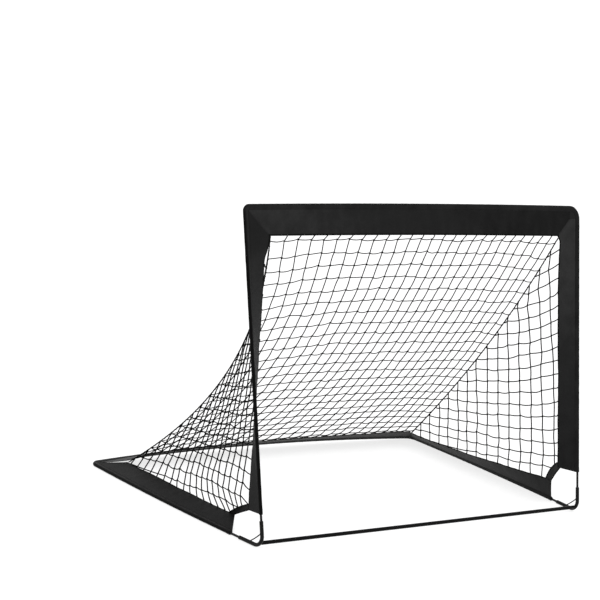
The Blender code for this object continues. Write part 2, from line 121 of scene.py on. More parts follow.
def unit(v):
    return v / np.linalg.norm(v, axis=-1, keepdims=True)


def dot(a, b):
    return (a * b).sum(-1, keepdims=True)


def smooth(t):
    t = np.clip(t, 0.0, 1.0)
    return t * t * (3 - 2 * t)


def unsmooth(w):
    """The t whose smoothstep is w."""
    w = np.clip(np.asarray(w, float), 0.0, 1.0)
    return 0.5 - np.sin(np.arcsin(1 - 2 * w) / 3)


def turn(v, axis, angle):
    """v turned about a unit axis by each angle."""
    c, s = np.cos(angle)[..., None], np.sin(angle)[..., None]
    return v * c + np.cross(axis, v) * s + axis * dot(v, axis) * (1 - c)


def interp(x, xs, points):
    return np.stack([np.interp(x, xs, points[:, k]) for k in range(3)], -1)


class Poly:
    """A polyline by arc length."""

    def __init__(self, points):
        self.points = np.asarray(points, float)
        steps = np.linalg.norm(np.diff(self.points, axis=0), axis=1)
        self.s = np.concatenate([[0.0], np.cumsum(steps)])
        self.length = self.s[-1]

    def at(self, s):
        return interp(np.asarray(s, float), self.s, self.points)

    def share(self, t):
        return self.at(np.asarray(t, float) * self.length)


# ---------------------------------------------------------------- the rod loop, as in the CAD
class Line:
    def __init__(self, length, curve, inward, second, angle, extra=lambda t: 0.0 * t):
        self.length, self.curve = length, curve
        self.inward, self.second, self.angle = inward, second, angle
        self.extra = extra

    def point(self, d):
        return self.curve(np.asarray(d, float) / self.length) - ORIGIN

    def tangent(self, d):
        d = np.asarray(d, float)
        return unit(self.point(d + 0.001) - self.point(d - 0.001))

    def frame(self, d):
        t = self.tangent(d)
        inward = unit(self.inward - t * dot(t, self.inward))
        second = self.second - t * dot(t, self.second)
        return inward, unit(second - inward * dot(inward, second))

    def axes(self, d):
        inward, second = self.frame(d)
        a = self.angle(np.asarray(d, float) / self.length)[..., None]
        along = inward * np.cos(a) + second * np.sin(a)
        across = second * np.cos(a) - inward * np.sin(a)
        return along, across

    def place(self, d, x, y):
        along, across = self.axes(d)
        x, y = self.widened(d, x), np.asarray(y, float)
        return self.point(d) + along * x[..., None] + across * y[..., None]

    def widened(self, d, x):
        """x on a band that is wider than BAND_WIDTH by the extra width."""
        x = np.asarray(x, float)
        share = np.maximum(0.0, x - FLAT_FROM) / (BAND_WIDTH - FLAT_FROM)
        return x + self.extra(np.asarray(d, float) / self.length) * share


def stack(x, y, z):
    x, y, z = np.broadcast_arrays(x, y, z)
    return np.stack([x, y, z], -1)


def post_curve(side):
    def at(t):
        x = side * (BASE_HALF + (TOP_HALF - BASE_HALF) * t)
        return (
            stack(x, 0.0 * t, AXIS_Z + 0.0 * t) + MOUTH_UP * (POST_LENGTH * t)[..., None]
        )

    return at


def side_curve(side):
    def at(t):
        x = BASE_HALF + (REAR_HALF - BASE_HALF) * t + SIDE_BOW * 4 * t * (1 - t)
        return stack(side * x, DEPTH * t, AXIS_Z + 0.0 * t)

    return at


def cross_curve(t):
    u = 2 * t - 1
    up = POST_LENGTH + CROSS_CROWN * (1 - u * u)
    return stack(TOP_HALF * u, 0.0 * t, AXIS_Z + 0.0 * t) + MOUTH_UP * up[..., None]


def rear_curve(t):
    u = 2 * t - 1
    return stack(
        REAR_HALF * u,
        DEPTH + REAR_BOW * (1 - u * u),
        AXIS_Z + REAR_LIFT * (1 - u * u),
    )


MITRE_SHARE = BAND_WIDTH / POST_LENGTH


def left_post_angle(t):
    high = np.maximum(0.0, 1 - t)
    return np.radians(84.0 * high**0.92 * smooth((1 - t - MITRE_SHARE) / 0.08))


def right_post_angle(t):
    return np.radians(4.0 * smooth((1 - t - MITRE_SHARE) / 0.2))


def left_side_angle(t):
    return np.radians(15.0 - 2.5 * t**4)


def right_side_angle(t):
    return np.radians(24.5 + 48.0 * np.maximum(0.0, 1 - t) ** 1.65 + 6.5 * t**6)


def rear_angle(t):
    return np.radians(22.5 + 8.5 * t**3 - 10.0 * np.exp(-((t / 0.09) ** 2)))


def cross_extra(t):
    """The crossbar's band widens towards the right."""
    return 0.0016 + 0.0058 * t


def post_extra(side):
    """A post's band flares at its top corner, to the crossbar band's width there."""
    most = 0.0016 if side < 0 else 0.0074

    def at(t):
        return most * smooth((t - 0.886) / 0.018)

    return at


POSTS = {
    s: Line(
        POST_LENGTH,
        post_curve(s),
        AX * -s,
        MOUTH_REAR,
        left_post_angle if s < 0 else right_post_angle,
        post_extra(s),
    )
    for s in (-1, 1)
}
SIDES = {
    s: Line(
        DEPTH, side_curve(s), AX * -s, AZ, left_side_angle if s < 0 else right_side_angle
    )
    for s in (-1, 1)
}
CROSS = Line(2 * TOP_HALF, cross_curve, -MOUTH_UP, MOUTH_REAR, lambda t: 0.0 * t, cross_extra)
REAR = Line(2 * REAR_HALF, rear_curve, -AY, AZ, rear_angle)


class Corner:
    def __init__(self, first, at_first, sign_first, second, at_second, sign_second, radius=BEND_R):
        self.radius = radius
        self.lines = ((first, at_first, sign_first), (second, at_second, sign_second))
        self.apex = first.point(np.array(at_first))
        self.a = first.tangent(np.array(at_first)) * sign_first
        self.b = second.tangent(np.array(at_second)) * sign_second
        self.half = math.acos(float(self.a @ self.b)) / 2
        self.bisector = unit(self.a + self.b)
        self.centre = self.apex + self.bisector * (radius / math.sin(self.half))
        self.reach = radius / math.tan(self.half)
        self.mitre = unit(self.a - self.b)
        self.bend = math.pi / 2 - self.half  # half the turn

    def which(self, line):
        return 0 if self.lines[0][0] is line else 1

    def on(self, which, d):
        line, at, sign = self.lines[which]
        return line.point(np.asarray(at + sign * np.asarray(d, float)))

    def arc(self, steps):
        out, side = -self.bisector, self.mitre
        g = self.bend * (1 - 2 * np.arange(steps + 1) / steps)
        return (
            self.centre
            + (out * np.cos(g)[:, None] + side * np.sin(g)[:, None]) * self.radius
        )

    def route(self, leg_first, leg_second, steps, per_leg):
        k = np.arange(per_leg) / per_leg
        one = self.on(0, leg_first + (self.reach - leg_first) * k)
        two = self.on(1, self.reach + (leg_second - self.reach) * (k + 1 / per_leg))
        return np.concatenate([one, self.arc(steps), two])


FRONT = {s: Corner(POSTS[s], 0.0, 1, SIDES[s], 0.0, 1) for s in (-1, 1)}
TOP = {
    -1: Corner(POSTS[-1], POST_LENGTH, -1, CROSS, 0.0, 1, TOP_BEND[-1]),
    1: Corner(POSTS[1], POST_LENGTH, -1, CROSS, 2 * TOP_HALF, -1, TOP_BEND[1]),
}
BACK = {
    -1: Corner(SIDES[-1], DEPTH, -1, REAR, 0.0, 1),
    1: Corner(SIDES[1], DEPTH, -1, REAR, 2 * REAR_HALF, -1),
}
HINGE = np.array([0.0, FRONT[1].centre[1], FRONT[1].centre[2]])


def hem_at(hem, x):
    """Where a hem, given by its distance at the rod and its slant, crosses the band at x."""
    at, slant = hem
    return at + slant * np.maximum(0.0, np.asarray(x, float) - SLANT_FROM)


# ---------------------------------------------------------------- camera
def camera():
    az, el, roll = 0.7054404894536153, 0.19791733375423567, 0.13758778970711608
    tx, ty, dist = 0.20300318974394577, -0.1827847095902213, 6.63268868450232
    fwd = Vector(
        (math.sin(az) * math.cos(el), math.cos(az) * math.cos(el), -math.sin(el))
    )
    right = Vector((math.cos(az), -math.sin(az), 0.0))
    up = right.cross(fwd)
    r2 = right * math.cos(roll) + up * math.sin(roll)
    u2 = up * math.cos(roll) - right * math.sin(roll)
    place = (
        Vector((0.0, 0.35, 0.4)) - Vector(ORIGIN) - r2 * tx - u2 * ty - fwd * dist
    )
    data = bpy.data.cameras.new("camera")
    data.sensor_width = 36.0
    data.sensor_fit = "HORIZONTAL"
    data.lens = 2270.413655807401 * 36.0 / 600.0
    data.clip_start, data.clip_end = 0.05, 200.0
    data.dof.use_dof = False
    ob = bpy.data.objects.new("camera", data)
    bpy.context.scene.collection.objects.link(ob)
    basis = Matrix((r2, u2, -fwd)).transposed().to_4x4()
    ob.matrix_world = Matrix.Translation(place) @ basis
    bpy.context.scene.camera = ob


camera()


# ---------------------------------------------------------------- materials
class Nodes:
    """Short forms for one material's node tree."""

    def __init__(self, name):
        self.material = bpy.data.materials.new(name)
        self.material.use_nodes = True
        self.tree = self.material.node_tree
        self.shader = self.tree.nodes["Principled BSDF"]

    def add(self, kind, **values):
        node = self.tree.nodes.new(kind)
        for key, value in values.items():
            setattr(node, key, value)
        return node

    def join(self, source, target):
        self.tree.links.new(source, target)

    def feed(self, node, key, value):
        if isinstance(value, bpy.types.NodeSocket):
            self.join(value, node.inputs[key])
        else:
            node.inputs[key].default_value = value

    def math(self, operation, a, b=0.0, c=0.0):
        node = self.add("ShaderNodeMath", operation=operation)
        for i, value in enumerate((a, b, c)):
            self.feed(node, i, value)
        return node.outputs[0]

    def attribute(self, name):
        return self.add("ShaderNodeAttribute", attribute_name=name)

    def place(self):
        return self.add("ShaderNodeTexCoord").outputs["Object"]

    def noise(self, vector, scale, detail=3.0, rough=0.55):
        node = self.add("ShaderNodeTexNoise")
        self.feed(node, "Vector", vector)
        node.inputs["Scale"].default_value = scale
        node.inputs["Detail"].default_value = detail
        node.inputs["Roughness"].default_value = rough
        return node.outputs["Fac"]

    def stretch(self, vector, x, y, z):
        node = self.add("ShaderNodeMapping")
        self.feed(node, "Vector", vector)
        node.inputs["Scale"].default_value = (x, y, z)
        return node.outputs[0]

    def ramp(self, value, low, high, from_low=0.0, from_high=1.0):
        node = self.add("ShaderNodeMapRange")
        self.feed(node, "Value", value)
        node.inputs["From Min"].default_value = from_low
        node.inputs["From Max"].default_value = from_high
        node.inputs["To Min"].default_value = low
        node.inputs["To Max"].default_value = high
        return node.outputs[0]

    def colours(self, value, stops):
        node = self.add("ShaderNodeValToRGB")
        self.feed(node, "Fac", value)
        ramp = node.color_ramp
        while len(ramp.elements) < len(stops):
            ramp.elements.new(0.5)
        for element, (at, colour) in zip(ramp.elements, stops):
            element.position = at
            element.color = (*colour, 1.0)
        return node.outputs["Color"]

    def bump(self, height, strength, distance, normal=None):
        node = self.add("ShaderNodeBump")
        self.feed(node, "Height", height)
        node.inputs["Strength"].default_value = strength
        node.inputs["Distance"].default_value = distance
        if normal is not None:
            self.join(normal, node.inputs["Normal"])
        return node.outputs[0]

    def done(self, colour=None, rough=None, normal=None, **even):
        if colour is not None:
            self.feed(self.shader, "Base Color", colour)
        if rough is not None:
            self.feed(self.shader, "Roughness", rough)
        if normal is not None:
            self.join(normal, self.shader.inputs["Normal"])
        for key, value in even.items():
            self.shader.inputs[key.replace("_", " ")].default_value = value
        return self.material


def grey(v, tint=1.0):
    return (v, v, v * tint)


def waves(n, coordinate, pitch, phase=0.0):
    """0 to 1 over each pitch, as a sine."""
    turned = n.math("MULTIPLY_ADD", coordinate, 2 * math.pi / pitch, phase)
    return n.math("MULTIPLY_ADD", n.math("SINE", turned), 0.5, 0.5)


def cloth_material(name, dark, light, rough, pitch, shine, weave=0.35, fade=None):
    """Coated plain weave: crossing yarns at a real pitch, slight cloudiness, and paler worn edges.

    fade is (from, to, shade there, shade here): a painted sheen, the cloth painted paler or darker along its length in
    place of the lights' sheen.
    """
    n = Nodes(name)
    at = n.attribute("cloth")
    parts = n.add("ShaderNodeSeparateXYZ")
    n.join(at.outputs["Vector"], parts.inputs[0])
    along, across, worn = parts.outputs
    warp, weft = waves(n, along, pitch), waves(n, across, pitch, 1.6)
    checks = n.math(
        "MULTIPLY",
        n.math("SINE", n.math("MULTIPLY", along, math.pi / pitch)),
        n.math("SINE", n.math("MULTIPLY", across, math.pi / pitch)),
    )
    over = n.math("GREATER_THAN", checks, 0.0)
    yarn = n.math(
        "ADD",
        n.math("MULTIPLY", warp, over),
        n.math("MULTIPLY", weft, n.math("SUBTRACT", 1.0, over)),
    )
    cloud = n.noise(n.place(), 22.0, 4.0)
    fine = n.noise(n.place(), 260.0, 2.0)
    mixed = n.math("MULTIPLY_ADD", fine, 0.25, n.math("MULTIPLY", cloud, 0.75))
    # the third cloth value adds real wear on the tails' edges, and painted shade where it is negative, at the channel's
    # outer rim
    mixed = n.math("ADD", mixed, n.math("MULTIPLY", worn, 0.22))
    # painted sheen: a shade ramp painted along the cloth's length
    if fade:
        start, end, first, last = fade
        mixed = n.math("ADD", mixed, n.ramp(along, first, last, start, end))
    colour = n.colours(
        mixed,
        [(0.0, grey(dark * 0.4)), (0.25, grey(dark)), (0.62, grey(light)), (1.0, grey(light * 2.1))],
    )
    roughness = n.ramp(mixed, rough - 0.05, rough + 0.09, 0.2, 0.8)
    normal = n.bump(yarn, weave, 0.00012)
    normal = n.bump(n.noise(n.place(), 60.0, 2.0), 0.10, 0.0006, normal)
    return n.done(
        colour, roughness, normal, Specular_IOR_Level=shine,
    )


def tape_material(name):
    """Ribbed binding tape."""
    n = Nodes(name)
    at = n.attribute("cloth")
    parts = n.add("ShaderNodeSeparateXYZ")
    n.join(at.outputs["Vector"], parts.inputs[0])
    ribs = waves(n, parts.outputs[0], 0.0011)
    threads = waves(n, parts.outputs[1], 0.0005)
    cloud = n.noise(n.place(), 45.0, 3.0)
    mixed = n.math("ADD", cloud, n.math("MULTIPLY", parts.outputs[2], 0.4))
    colour = n.colours(mixed, [(0.25, grey(0.0016)), (0.7, grey(0.0034)), (1.0, grey(0.008))])
    height = n.math("MULTIPLY_ADD", threads, 0.3, ribs)
    return n.done(
        colour, n.ramp(cloud, 0.60, 0.75), n.bump(height, 0.45, 0.0002),
        Specular_IOR_Level=0.04,
    )


def webbing_material(name):
    """Woven webbing with a herringbone."""
    n = Nodes(name)
    at = n.attribute("cloth")
    parts = n.add("ShaderNodeSeparateXYZ")
    n.join(at.outputs["Vector"], parts.inputs[0])
    along, across, worn = parts.outputs
    zig = n.math("PINGPONG", across, 0.00283)
    slant = n.math("ADD", along, zig)
    ribs = waves(n, slant, 0.0013)
    cloud = n.noise(n.place(), 70.0, 3.0)
    mixed = n.math("ADD", cloud, n.math("MULTIPLY", worn, 0.5))
    colour = n.colours(mixed, [(0.25, grey(0.0045)), (0.7, grey(0.0085)), (1.0, grey(0.02))])
    return n.done(
        colour, n.ramp(cloud, 0.58, 0.74), n.bump(ribs, 0.6, 0.00035),
        Specular_IOR_Level=0.05,
    )


def thread_material(name, dark=0.004, light=0.010):
    n = Nodes(name)
    fine = n.noise(n.place(), 900.0, 2.0)
    colour = n.colours(fine, [(0.3, grey(dark)), (0.7, grey(light))])
    return n.done(
        colour, n.ramp(fine, 0.48, 0.64), n.bump(fine, 0.3, 0.0001),
        Specular_IOR_Level=0.12,
    )


def twine_material(name, pitch, dark, light):
    """Twisted twine: the strand attribute holds the length along it and the cosine and sine round it."""
    n = Nodes(name)
    at = n.attribute("strand")
    parts = n.add("ShaderNodeSeparateXYZ")
    n.join(at.outputs["Vector"], parts.inputs[0])
    turned = n.math("MULTIPLY", parts.outputs[0], 2 * math.pi / pitch)
    lay = n.math(
        "ADD",
        n.math("MULTIPLY", n.math("SINE", turned), parts.outputs[1]),
        n.math("MULTIPLY", n.math("COSINE", turned), parts.outputs[2]),
    )
    cloud = n.noise(n.place(), 35.0, 3.0)
    fuzz = n.noise(n.place(), 700.0, 2.0)
    mixed = n.math("MULTIPLY_ADD", fuzz, 0.4, n.math("MULTIPLY", cloud, 0.6))
    mixed = n.math("MULTIPLY_ADD", lay, 0.12, mixed)
    colour = n.colours(mixed, [(0.25, grey(dark)), (0.75, grey(light))])
    normal = n.bump(n.math("MULTIPLY_ADD", fuzz, 0.3, lay), 0.5, 0.0003)
    return n.done(
        colour, n.ramp(cloud, 0.68, 0.86), normal, Specular_IOR_Level=0.05,
    )


def paint_material(name, dark, light, rough, shine):
    """Satin black coating: a faint orange peel, and the wear attribute's rubbed places."""
    n = Nodes(name)
    worn = n.attribute("worn").outputs["Fac"]
    cloud = n.noise(n.place(), 55.0, 4.0)
    scratch = n.noise(n.stretch(n.place(), 1.0, 0.16, 1.0), 900.0, 3.0, 0.7)
    marks = n.math("MULTIPLY", worn, n.ramp(scratch, 0.0, 1.0, 0.42, 0.62))
    mixed = n.math("MULTIPLY_ADD", cloud, 0.45, n.math("MULTIPLY", marks, 0.55))
    colour = n.colours(mixed, [(0.15, grey(dark)), (0.45, grey(light)), (0.95, grey(0.03))])
    roughness = n.math("ADD", n.ramp(cloud, rough - 0.05, rough + 0.06), n.math("MULTIPLY", marks, 0.1))
    normal = n.bump(n.noise(n.place(), 850.0, 2.0), 0.10, 0.0002)
    return n.done(colour, roughness, normal, Specular_IOR_Level=shine)


def steel_material(name):
    n = Nodes(name)
    streaks = n.noise(n.stretch(n.place(), 1.0, 0.3, 1.0), 1400.0, 3.0)
    cloud = n.noise(n.place(), 120.0, 3.0)
    colour = n.colours(cloud, [(0.3, (0.008, 0.008, 0.009)), (0.7, (0.024, 0.024, 0.026))])
    return n.done(
        colour, n.ramp(streaks, 0.34, 0.52), n.bump(streaks, 0.2, 0.0001), Metallic=0.85
    )


def glass_material(name):
    """Pultruded glass-fibre rod: fine lengthwise fibres under resin."""
    n = Nodes(name)
    at = n.attribute("strand")
    parts = n.add("ShaderNodeSeparateXYZ")
    n.join(at.outputs["Vector"], parts.inputs[0])
    joined = n.add("ShaderNodeCombineXYZ")
    n.join(n.math("MULTIPLY", parts.outputs[0], 0.04), joined.inputs[0])
    n.join(n.math("MULTIPLY", parts.outputs[1], 0.02), joined.inputs[1])
    n.join(n.math("MULTIPLY", parts.outputs[2], 0.02), joined.inputs[2])
    fibres = n.noise(joined.outputs[0], 700.0, 3.0)
    colour = n.colours(fibres, [(0.3, (0.003, 0.003, 0.0033)), (0.62, (0.007, 0.007, 0.0075)), (0.85, (0.014, 0.0142, 0.015))])
    return n.done(
        colour, n.ramp(fibres, 0.30, 0.44), n.bump(fibres, 0.15, 0.0001),
        Specular_IOR_Level=0.15,
    )


BAND = cloth_material("band_cloth", 0.0068, 0.0105, 0.46, 0.00062, 0.05)
SHEEN_PAINTED_BANDS = {  # the bands with a painted sheen, painted paler and darker along their length
    "crossbar_band": cloth_material(
        "crossbar_cloth_painted_sheen", 0.0068, 0.0105, 0.46, 0.00062, 0.05, fade=(0.10, 1.10, 0.38, -0.50)
    ),
    "post_band_right": cloth_material(
        "post_cloth_painted_sheen", 0.0068, 0.0105, 0.46, 0.00062, 0.05, fade=(0.15, 0.70, -0.32, 0.42)
    ),
}
# painted shade: this channel cloth has a far darker low end, which paints the channel's outer rim dark
RIM_SHADED_CHANNEL = cloth_material("channel_cloth_rim_shade", 0.0016, 0.0095, 0.48, 0.00062, 0.05)
TAPE = tape_material("binding_tape")
WEBBING = webbing_material("strap_webbing")
THREAD = thread_material("sewing_thread")
TWINE = twine_material("net_twine", 0.0040, 0.0022, 0.0052)
CORD = twine_material("seam_cord", 0.0060, 0.0018, 0.0042)
LACING = twine_material("seam_lacing", 0.0022, 0.0020, 0.0048)
ELBOW = paint_material("elbow_coating", 0.0022, 0.0045, 0.32, 0.12)
BAR = paint_material("bar_coating", 0.0016, 0.0032, 0.40, 0.05)
STEEL = steel_material("dark_wire")
GLASS = glass_material("glass_fibre_rod")


# ---------------------------------------------------------------- meshes from arrays
def mesh_piece(name, verts, faces, materials, face_material=None, attributes=None, flat=False):
    """One mesh from arrays. attributes is {name: (n, 3) or (n,)} on the points."""
    mesh = bpy.data.meshes.new(name)
    mesh.from_pydata(np.asarray(verts).tolist(), [], [list(map(int, f)) for f in faces])
    mesh.validate()
    for m in materials:
        mesh.materials.append(m)
    if face_material is not None and len(mesh.polygons) == len(face_material):
        mesh.polygons.foreach_set("material_index", np.asarray(face_material, np.int32))
    if not flat:
        mesh.shade_smooth()
    for key, values in (attributes or {}).items():
        values = np.asarray(values, np.float32)
        kind = "FLOAT" if values.ndim == 1 else "FLOAT_VECTOR"
        made = mesh.attributes.new(key, kind, "POINT")
        made.data.foreach_set("value" if values.ndim == 1 else "vector", values.ravel())
    ob = bpy.data.objects.new(name, mesh)
    bpy.context.scene.collection.objects.link(ob)
    return ob


class Heap:
    """Gathers several meshes into one."""

    def __init__(self, attribute):
        self.attribute = attribute
        self.verts, self.faces, self.mats, self.values = [], [], [], []
        self.count = 0

    def add(self, verts, faces, material, values):
        verts = np.asarray(verts, float).reshape(-1, 3)
        self.verts.append(verts)
        self.values.append(np.asarray(values, float).reshape(-1, 3))
        if isinstance(faces, np.ndarray):
            self.faces += (faces + self.count).tolist()
        else:
            self.faces += [[i + self.count for i in f] for f in faces]
        if np.ndim(material) == 0:
            material = [material] * len(faces)
        self.mats += list(material)
        self.count += len(verts)

    def piece(self, name, materials):
        return mesh_piece(
            name,
            np.concatenate(self.verts),
            self.faces,
            materials,
            self.mats,
            {self.attribute: np.concatenate(self.values)},
        )


def grid_faces(rows, columns, closed):
    """Quads between rows of points; closed joins the last column to the first."""
    i = np.arange(rows - 1)[:, None]
    j = np.arange(columns if closed else columns - 1)[None, :]
    k = (j + 1) % columns
    quads = np.stack(
        [i * columns + j, i * columns + k, (i + 1) * columns + k, (i + 1) * columns + j],
        -1,
    )
    return quads.reshape(-1, 4)


def tangents(points):
    t = np.empty_like(points)
    t[1:-1] = points[2:] - points[:-2]
    t[0], t[-1] = points[1] - points[0], points[-1] - points[-2]
    return unit(t)


def frames_along(points, reference):
    """A normal and a side at each point of a polyline, with the normal kept near the reference."""
    t = tangents(points)
    reference = np.broadcast_to(np.asarray(reference, float), points.shape)
    normal = reference - t * dot(reference, t)
    size = np.linalg.norm(normal, axis=1, keepdims=True)
    normal = np.where(size > 1e-4, normal, np.roll(t, 1, axis=1))
    normal = unit(normal - t * dot(normal, t))
    return normal, np.cross(t, normal)


def tube_mesh(points, radius, sides, reference, ends=True):
    """Points and quads of a round strand, with a rounded end cap, and the strand attribute."""
    points = np.asarray(points, float)
    normal, side = frames_along(points, reference)
    radius = np.broadcast_to(np.asarray(radius, float), len(points))
    a = 2 * math.pi * np.arange(sides) / sides
    ring = np.cos(a)[None, :, None] * normal[:, None, :] + np.sin(a)[None, :, None] * side[:, None, :]
    verts = points[:, None, :] + ring * radius[:, None, None]
    steps = np.linalg.norm(np.diff(points, axis=0), axis=1)
    s = np.concatenate([[0.0], np.cumsum(steps)])
    values = np.empty((len(points), sides, 3))
    values[..., 0] = s[:, None]
    values[..., 1] = np.cos(a)[None, :]
    values[..., 2] = np.sin(a)[None, :]
    faces = grid_faces(len(points), sides, True).tolist()
    verts, values = verts.reshape(-1, 3), values.reshape(-1, 3)
    if ends:
        t = tangents(points)
        tips = np.array([points[0] - t[0] * radius[0] * 0.6, points[-1] + t[-1] * radius[-1] * 0.6])
        n = len(verts)
        verts = np.concatenate([verts, tips])
        values = np.concatenate([values, [[0, 0, 0], [s[-1], 0, 0]]])
        last = n - sides
        for j in range(sides):
            k = (j + 1) % sides
            faces.append([n, k, j])
            faces.append([n + 1, last + j, last + k])
    return verts, faces, values


def round_piece(name, points, radius, bore, sides, material, rim=0.0006, worn=None, reference=AZ):
    """A smooth round rod, or an open tube where bore is given, with eased rims."""
    points = np.asarray(points, float)
    t = tangents(points)
    s = np.concatenate([[0.0], np.cumsum(np.linalg.norm(np.diff(points, axis=0), axis=1))])
    normal, side = frames_along(points, reference)
    a = 2 * math.pi * np.arange(sides) / sides
    ring = np.cos(a)[None, :, None] * normal[:, None, :] + np.sin(a)[None, :, None] * side[:, None, :]
    loops, where = [], []

    def loop(i, r, shift=0.0):
        loops.append(points[i] + t[i] * shift + ring[i] * r)
        where.append(s[i] + shift)

    last = len(points) - 1
    ease = [(1.0, 0.0), (0.62, 0.07), (0.3, 0.29), (0.07, 0.62), (0.0, 1.0)]
    for across, along in reversed(ease):
        if across > 0:
            loop(0, radius - rim * across, rim * along)
    inner = range(0, len(points))
    for i in inner:
        if i == 0:
            loop(0, radius, rim)
        elif i == last:
            loop(last, radius, -rim)
        else:
            loop(i, radius)
    for across, along in reversed(ease[:-1]):
        loop(last, radius - rim * across, -rim * along)
    outer_count = len(loops)
    if bore:
        for across, along in ((1.0, 0.0), (0.3, 0.3), (0.0, 1.0)):
            loop(last, bore + rim * 0.5 * across, -rim * 0.5 * along)
        for i in range(last - 1, 0, -1):
            loop(i, bore)
        for across, along in ((0.0, 1.0), (0.3, 0.3), (1.0, 0.0)):
            loop(0, bore + rim * 0.5 * across, rim * 0.5 * along)
    verts = np.array(loops)
    rows = len(loops)
    faces = grid_faces(rows, sides, True)
    values = np.empty((rows, sides, 3))
    values[..., 0] = np.array(where)[:, None]
    values[..., 1], values[..., 2] = np.cos(a)[None, :], np.sin(a)[None, :]
    flatv, flatf = verts.reshape(-1, 3), faces.tolist()
    n = (rows - 1) * sides
    if bore:
        for j in range(sides):
            k = (j + 1) % sides
            flatf.append([n + j, n + k, k, j])
    else:
        flatf.append(list(range(sides))[::-1])
        flatf.append([n + j for j in range(sides)])
    attributes = {"strand": values.reshape(-1, 3)}
    if worn is not None:
        w = np.array([worn(x) for x in where])
        w = np.repeat(w, sides)
        attributes["worn"] = w
    else:
        attributes["worn"] = np.zeros(len(flatv))
    return mesh_piece(name, flatv, flatf, [material], None, attributes)


def stitches(heap, points, normals, material, pitch=0.0036, share=0.72, radius=0.00030, seat=0.00008):
    """A row of sewn stitches along points: each one a short thread that dips at both ends."""
    path = Poly(points)
    count = int(path.length / pitch)
    if count < 1:
        return
    s = (np.arange(count) + 0.5) * (path.length / count)
    half = path.length / count * share / 2
    middle, a, b = path.at(s), path.at(s - half), path.at(s + half)
    normal = unit(interp(s, path.s, np.asarray(normals, float)))
    along = unit(b - a)
    side = np.cross(along, normal)
    lift = seat
    rows = []
    for at, r, up in ((-1.0, 0.0, -1.6), (-0.66, 0.85, -0.35), (0.0, 1.0, 0.35), (0.66, 0.85, -0.35), (1.0, 0.0, -1.6)):
        centre = middle + along * (half * at) + normal * (lift + radius * up)
        if r == 0.0:
            rows.append(centre[:, None, :])
            continue
        angles = np.array([0.25, 0.75, 1.25, 1.75]) * math.pi
        rows.append(
            centre[:, None, :]
            + (np.cos(angles)[None, :, None] * side[:, None, :] + np.sin(angles)[None, :, None] * normal[:, None, :]) * (radius * r)
        )
    verts = np.concatenate(rows, axis=1)  # count x (1 + 4 + 4 + 4 + 1)
    pattern = []
    for j in range(4):
        k = (j + 1) % 4
        pattern.append([0, 1 + k, 1 + j])
        pattern.append([1 + j, 1 + k, 5 + k, 5 + j])
        pattern.append([5 + j, 5 + k, 9 + k, 9 + j])
        pattern.append([13, 9 + j, 9 + k])
    faces = [[i + 14 * c for i in f] for c in range(count) for f in pattern]
    heap.add(verts.reshape(-1, 3), faces, material, np.zeros((count * 14, 3)))


# ---------------------------------------------------------------- sewn bands
# (distance from the rod's axis, half thickness) in millimetres, over the tail
TAIL = [
    (10.2, 0.30), (11.0, 0.52), (11.7, 0.70), (14.0, 0.84), (16.0, 0.88), (21.0, 0.84),
    (25.0, 0.82), (29.0, 0.80), (34.0, 0.78), (41.0, 0.78), (47.0, 0.78), (53.0, 0.80),
    (58.0, 0.80), (63.0, 0.80), (68.0, 0.80), (72.0, 0.82), (74.6, 0.82), (75.3, 0.84),
    (75.7, 0.96), (76.0, 1.14), (76.7, 1.20), (77.3, 1.08), (77.9, 1.14), (78.6, 1.10),
    (79.2, 0.86), (79.6, 0.50), (79.8, 0.0),
]
TAIL_X = np.array([x for x, _ in TAIL]) / 1000
TAIL_H = np.array([h for _, h in TAIL]) / 1000


